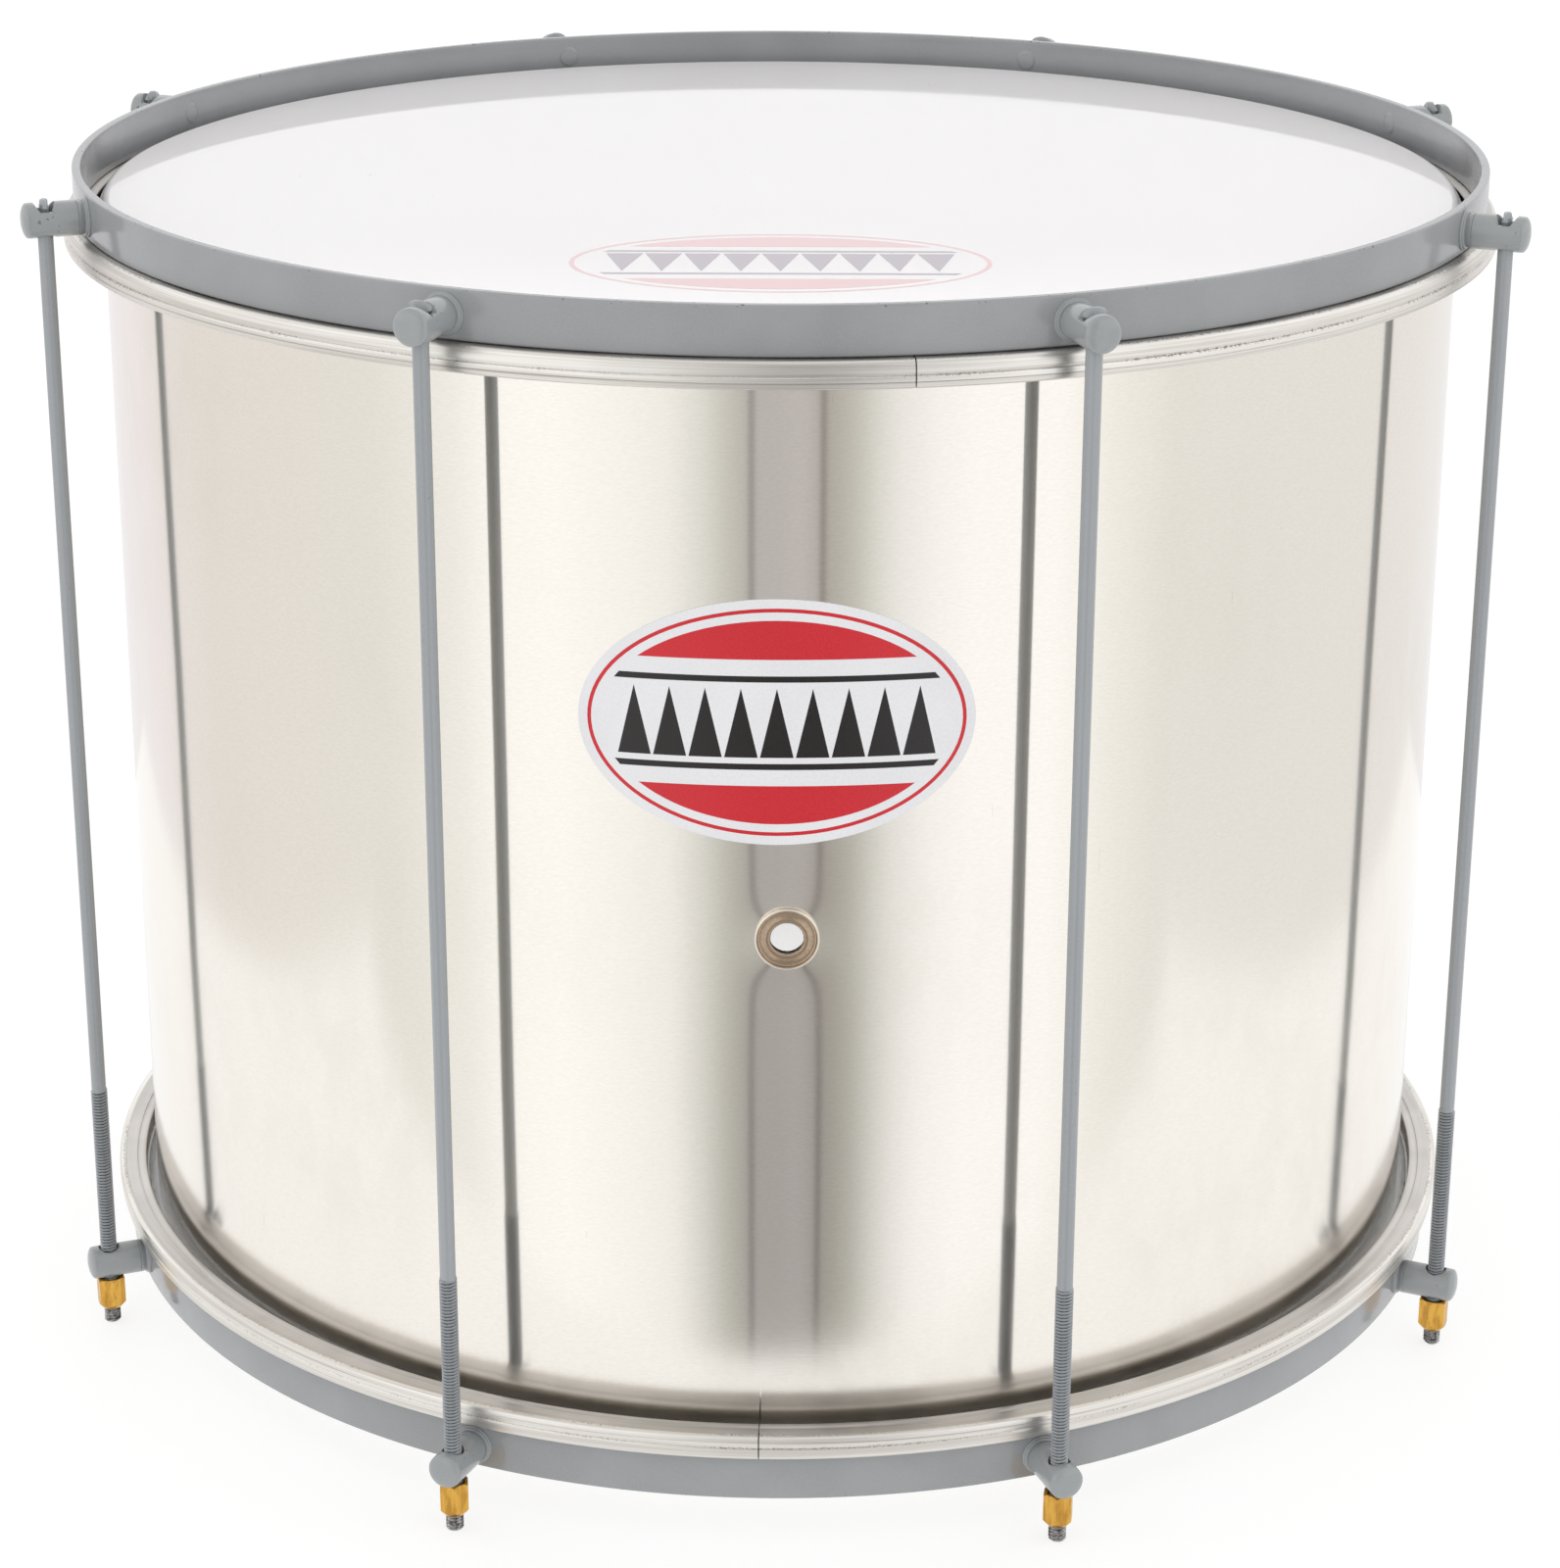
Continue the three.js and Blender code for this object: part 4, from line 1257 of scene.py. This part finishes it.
def lug_outline(look):
    """A lug from its riveted end inside the hoop to its domed nose, as (radius, along)."""
    nose = ROD_CIRCLE + LUG_NOSE - look.dome
    button, shank = 4.3 * MM, 3.7 * MM
    dome = [(LUG_RADIUS * math.sin(angle), nose + look.dome * math.cos(angle))
            for angle in (QUARTER * i / 9 for i in range(8, -1, -1))]
    return [
        (0, HOOP_INNER - 0.45 * MM),
        *near(button, HOOP_INNER, (-1.2, -0.42), (-0.35, -0.28), (0, 0.05), (0, 0.4)),
        (shank, HOOP_INNER + 0.8 * MM),
        (shank, HOOP_OUTER - 0.8 * MM),
        *near(LUG_RADIUS, HOOP_OUTER, (0.6, -0.3), (1.05, -0.1), (1.05, 0.45), (0.85, 0.65), (0.55, 0.75),
              (0.5, 1.25), (0.3, 1.45), (-0.25, 1.55), (-0.25, 2.1), (0, 2.4), (0, 3.7), (-0.22, 3.85),
              (0, 4.0)),
        *near(LUG_RADIUS, nose, (0, -0.8), (-0.03, -0.3)),
        *dome,
    ]


def bore_cutter(look):
    bm = bmesh.new()
    bmesh.ops.create_cone(
        bm, cap_ends=True, segments=40, radius1=look.bore, radius2=look.bore, depth=4 * LUG_RADIUS,
    )
    bmesh.ops.translate(bm, vec=(ROD_CIRCLE, 0, 0), verts=bm.verts)
    return to_mesh(bm)


def notch_cutter(look):
    """A wedge across the lug's top, wider above than at its floor."""
    bm = bmesh.new()
    bmesh.ops.create_cube(bm, size=1.0)
    bmesh.ops.scale(bm, vec=(2 * look.notch_floor, 4 * LUG_RADIUS, 2 * look.notch_depth), verts=bm.verts)
    spread = (2 * look.notch_top - look.notch_floor) / look.notch_floor
    bmesh.ops.scale(bm, vec=(spread, 1, 1), verts=[vert for vert in bm.verts if vert.co.z > 0])
    bmesh.ops.translate(bm, vec=(ROD_CIRCLE, 0, LUG_RADIUS), verts=bm.verts)
    return to_mesh(bm)


def lug_mesh(look, notched):
    blank = to_mesh(turned(lug_outline(look), look.facets, ALONG))
    cutters = [bore_cutter(look)] + ([notch_cutter(look)] if notched else [])
    bm = bmesh.new()
    bm.from_mesh(carved(blank, cutters))
    bmesh.ops.remove_doubles(bm, verts=bm.verts, dist=10 * WELD)
    lips = []
    for edge in bm.edges:
        place = (edge.verts[0].co + edge.verts[1].co) / 2
        close = abs(place.x - ROD_CIRCLE) < 1.9 * look.bore
        if close and len(edge.link_faces) == 2 and edge.calc_face_angle() > LIP_ANGLE:
            lips.append(edge)
    round_edges(bm, lips, LIP_ROUNDING, segments=2)
    return to_mesh(bm, sharp=42)


class SURDO_OT_add_lugs(bpy.types.Operator):
    """Adds the sixteen lugs: the upper ones are notched for the rods' blades"""

    bl_idname = "surdo.add_lugs"
    bl_label = "Lugs"

    def execute(self, context):
        look = context.scene.surdo_lugs
        grey = context.scene.surdo_enamel
        paint = enamel("lug_enamel", grey, grey.lug, lug_chips)
        for end in ENDS:
            lug = lug_mesh(look, notched=end == "top")
            for i in range(ROD_COUNT):
                node = f"{end}_lug_{i + 1}"
                mesh = copied(lug, at_rod(i, middle(node).z))
                add_piece(mesh, f"{end}_stud_{i + 1}", DRUM, [paint], [node])
        return {"FINISHED"}


# Tension rods

# The forged blade, from its neck up: millimetres above the seat, half sizes across and along the
# notch, and how square the section is, where 2 is round.
BLADE_SEAT = ROD_TOP - 3.0 * MM
BLADE_SECTIONS = (
    (-2.0, 1.9, 2.9, 2.4), (-0.2, 1.5, 2.95, 3.5), (0.0, 1.5, 4.3, 5), (0.9, 1.5, 4.45, 5),
    (1.6, 1.5, 4.1, 5), (2.2, 1.45, 3.4, 4), (2.7, 1.3, 2.4, 3), (3.0, 0.8, 1.1, 2.5),
)


def squared(angle, across, along, power):
    """A point of a rounded rectangle with half sizes across and along."""
    reach = (abs(math.cos(angle)) ** power + abs(math.sin(angle)) ** power) ** (-1 / power)
    return reach * math.cos(angle) * across, reach * math.sin(angle) * along


def rod_mesh(look):
    """A rod on the Z axis: a rounded tip, a helical thread, the plain shank and the forged blade."""
    per_turn = look.sides // 2
    tip = 0.8 * MM
    steps = round((look.thread - 2 * tip) / look.pitch * per_turn)
    thread_end = tip + steps * look.pitch / per_turn
    bm = bmesh.new()
    made = bmesh.ops.create_circle(bm, segments=look.sides, radius=look.crest)["verts"]
    for vert in made:
        # The thread's profile over one turn: a flat root, two flanks and a flat crest.
        angle = bearing_of(vert.co) % TAU
        wave = abs(2 * angle / TAU - 1)
        cut = look.root * min(1.0, max(0.0, 1.25 - 2.2 * wave))
        vert.co = around(angle, look.crest - cut, tip)
    first = list(bm.edges)
    spun = bmesh.ops.spin(
        bm, geom=made + first, cent=ORIGIN, axis=UP, angle=TAU * steps / per_turn, steps=steps,
        dvec=UP * (look.pitch / per_turn), use_merge=False, use_duplicate=False,
    )["geom_last"]
    ring = edges_of(spun)
    plain = [(height, look.shank, look.shank, 2)
             for height in (thread_end + 0.9 * MM, BLADE_SEAT - 12 * MM, BLADE_SEAT - 6 * MM)]
    blade = [(BLADE_SEAT + rise * MM, across * MM, along * MM, power)
             for rise, across, along, power in BLADE_SECTIONS]
    for height, *section in plain + blade:
        ring, corners = raised(bm, ring, height)
        for vert in corners:
            vert.co.x, vert.co.y = squared(bearing_of(vert.co), *section)
    bmesh.ops.contextual_create(bm, geom=ring)
    low = first
    for height, taper in ((0.35 * MM, 0.86), (0.0, 0.82)):
        low, corners = raised(bm, low, height)
        bmesh.ops.scale(bm, vec=(taper, taper, 1), verts=corners)
    bmesh.ops.contextual_create(bm, geom=low)
    bmesh.ops.recalc_face_normals(bm, faces=bm.faces)
    nut_middle = middle("tuning_nut_1").z
    groove = look.crest - 0.6 * look.root
    # Index 0 is the enamelled rod, 1 the bare tip, 2 the thread's groove, in enamel darkened as painted
    # shade, and 3 its crest, in enamel paled as a painted highlight.
    for face in bm.faces:
        height = face.calc_center_median().z
        reach = sum(vert.co.xy.length for vert in face.verts) / len(face.verts)
        if height < nut_middle:
            face.material_index = 1
        elif height < thread_end:
            face.material_index = 2 if reach < groove else 3
    return to_mesh(bm, sharp=70)


class SURDO_OT_add_rods(bpy.types.Operator):
    """Adds the eight tension rods with their cut threads and forged heads"""

    bl_idname = "surdo.add_rods"
    bl_label = "Tension rods"

    def execute(self, context):
        look = context.scene.surdo_rods
        grey = context.scene.surdo_enamel
        finishes = [
            enamel("rod_enamel", grey, grey.rod, thread_chips, (30, 30, 3)),
            bare_steel(look),
            # The thread's grooves and crests take darker and paler enamel: painted shade and painted
            # highlight.
            enamel("groove_shade_enamel", grey, grey.groove, thread_chips),
            enamel("crest_highlight_enamel", grey, grey.thread, thread_chips),
        ]
        rod = rod_mesh(look)
        for i in range(ROD_COUNT):
            mesh = copied(rod, at_rod(i, 0.0, ROD_CIRCLE))
            body = f"rod_{i + 1}"
            add_piece(mesh, f"{body}_bar", body, finishes, [f"tension_{body}"])
        return {"FINISHED"}


# Tuning nuts

def nut_mesh(look, tall):
    """A hexagon nut on the Z axis, with its corners turned off at both ends."""
    low_circle, high_circle = look.flat - 1.15 * MM, look.flat - 0.1 * MM

    def section(angle):
        """The nut's outline at an angle, from the bore's top round the outside to the bore's foot."""
        side = look.flat / math.cos((angle + math.pi / 6) % (math.pi / 3) - math.pi / 6)
        return (
            (look.bore, tall - 0.4 * MM), (look.bore + 0.4 * MM, tall), (high_circle, tall),
            (side, tall - (side - high_circle) * 0.85), (side, (side - low_circle) * 1.2),
            (low_circle, 0.0), (look.bore + 0.5 * MM, 0.0), (look.bore, 0.5 * MM),
        )

    bm = bmesh.new()
    corners = bmesh.ops.create_circle(bm, segments=60, radius=1.0)["verts"]
    first = ring = list(bm.edges)
    for number in range(len(section(0.0))):
        if number:
            ring, corners = raised(bm, ring, 0.0)
        for vert in corners:
            angle = bearing_of(vert.co)
            vert.co = around(angle, *section(angle)[number])
    bmesh.ops.bridge_loops(bm, edges=first + ring)
    bmesh.ops.recalc_face_normals(bm, faces=bm.faces)
    return to_mesh(bm, sharp=24)


class SURDO_OT_add_nuts(bpy.types.Operator):
    """Adds the eight brass tuning nuts"""

    bl_idname = "surdo.add_nuts"
    bl_label = "Tuning nuts"

    def execute(self, context):
        look = context.scene.surdo_nuts
        brass = turned_brass(look)
        low, high = (corner.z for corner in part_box("tuning_nut_1"))
        nut = nut_mesh(look, high - low - look.foot)
        for i in range(ROD_COUNT):
            mesh = copied(nut, at_rod(i, low + look.foot, ROD_CIRCLE))
            body = f"nut_{i + 1}"
            add_piece(mesh, f"{body}_hexagon", body, [brass], [f"tuning_{body}"])
        return {"FINISHED"}


# Vent

def eyelet_outline(look):
    """The eyelet's section as (radius, along): a rolled rim, a dished face and a clinched barrel."""
    face = SHELL_RADIUS + 0.50 * MM
    inner = SHELL_RADIUS - 1.9 * MM
    roll = 0.46
    bead = arc(look.flange - roll * MM, face + 1.02 * MM, roll * MM, -0.1 * math.pi, math.pi, 9)
    return loop([
        *near(VENT_BORE, face, (0.5, -0.85)),
        *near(VENT_BORE, inner, (0.5, -1.2), (2.0, -1.2), (2.1, -0.5), (0.8, -0.35)),
        *near(VENT_BORE, face, (0.8, -0.2)),
        *near(look.flange, face, (-0.3, 0), (0, 0.3)),
        *bead,
        *near(look.flange, face, (-2.05 * roll, 0.55), (-2.6 * roll, 0.32), (-1.9, 0.30), (-2.9, 0.52)),
        *near(VENT_BORE, face, (1.9, 0.86), (1.6, 1.00), (1.35, 0.98), (1.2, 0.72), (0.75, 0.66),
              (0.5, 0.78), (0.25, 0.62), (0, 0.1), (0, -0.35)),
    ])


def washer_outline():
    """The back washer's section as (radius, along), with its rear edges softened."""
    face = SHELL_RADIUS * FLAT_SHARE - SHELL_WALL - 0.3 * MM
    return loop(near(
        VENT_HOLE, face, (0, -0.65), (0.2, -0.8), (3.1, -0.8), (3.3, -0.65), (3.3, 0), (0, 0),
    ))


class SURDO_OT_add_vent(bpy.types.Operator):
    """Adds the vent's eyelet and the washer behind it"""

    bl_idname = "surdo.add_vent"
    bl_label = "Vent"

    def execute(self, context):
        look = context.scene.surdo_vent
        nickel = warm_nickel(look)
        at_vent = Matrix.Translation(UP * VENT.z) @ Matrix.Rotation(VENT_BEARING, 4, "Z")
        for outline, name, node in (
            (eyelet_outline(look), "eyelet_ring", "vent_eyelet"),
            (washer_outline(), "washer_ring", "vent_washer"),
        ):
            mesh = to_mesh(turned(outline, look.facets, ALONG), sharp=50)
            mesh.transform(at_vent)
            add_piece(mesh, name, DRUM, [nickel], [node])
        return {"FINISHED"}


# Badge

VINYL_SHARE = 0.8   # the vinyl's share of its face's rise, which leaves a thin gap under it


class SURDO_OT_add_badge(bpy.types.Operator):
    """Adds the oval sticker, bent to the shell, with its printed motif"""

    bl_idname = "surdo.add_badge"
    bl_label = "Badge"

    def execute(self, context):
        look = context.scene.surdo_badge
        bm = oval_motif(look.width, look.height, margin=3.2 * MM, line=1.3 * MM, spacing=3 * MM)
        radius = SHELL_RADIUS + look.rise
        for vert in bm.verts:
            vert.co = around(BADGE_BEARING + vert.co.x / radius, radius, BADGE.z + vert.co.y)
        bm.normal_update()
        bmesh.ops.solidify(bm, geom=bm.faces, thickness=VINYL_SHARE * look.rise)
        inks = [printed_vinyl(name, colour) for name, colour in (
            ("white_vinyl", look.vinyl), ("red_vinyl", look.red), ("black_vinyl", look.black),
        )]
        add_piece(to_mesh(bm), "badge_sticker", DRUM, inks, ["badge"])
        return {"FINISHED"}


OPERATORS = (
    SURDO_OT_add_stage,
    SURDO_OT_add_shell,
    SURDO_OT_add_heads,
    SURDO_OT_add_flesh_hoops,
    SURDO_OT_add_counterhoops,
    SURDO_OT_add_lugs,
    SURDO_OT_add_rods,
    SURDO_OT_add_nuts,
    SURDO_OT_add_vent,
    SURDO_OT_add_badge,
)


class SURDO_PT_pieces(bpy.types.Panel):
    """Lists the drum's pieces and their settings"""

    bl_idname = "SURDO_PT_pieces"
    bl_label = "Surdo"
    bl_space_type = "VIEW_3D"
    bl_region_type = "UI"
    bl_category = "Surdo"

    def draw(self, context):
        for operator in OPERATORS:
            self.layout.operator(operator.bl_idname)
        for name, group in SETTINGS.items():
            box = self.layout.box()
            box.label(text=group.__doc__)
            for field in group.__annotations__:
                box.prop(getattr(context.scene, name), field)


CLASSES = (*SETTINGS.values(), *OPERATORS, SURDO_PT_pieces)


def register():
    for cls in CLASSES:
        bpy.utils.register_class(cls)
    for name, group in SETTINGS.items():
        setattr(bpy.types.Scene, name, bpy.props.PointerProperty(type=group))


def unregister():
    for name in SETTINGS:
        delattr(bpy.types.Scene, name)
    for cls in reversed(CLASSES):
        bpy.utils.unregister_class(cls)


def main():
    register()
    for operator in OPERATORS:
        getattr(bpy.ops.surdo, operator.bl_idname.removeprefix("surdo."))()


if __name__ == "__main__":
    main()
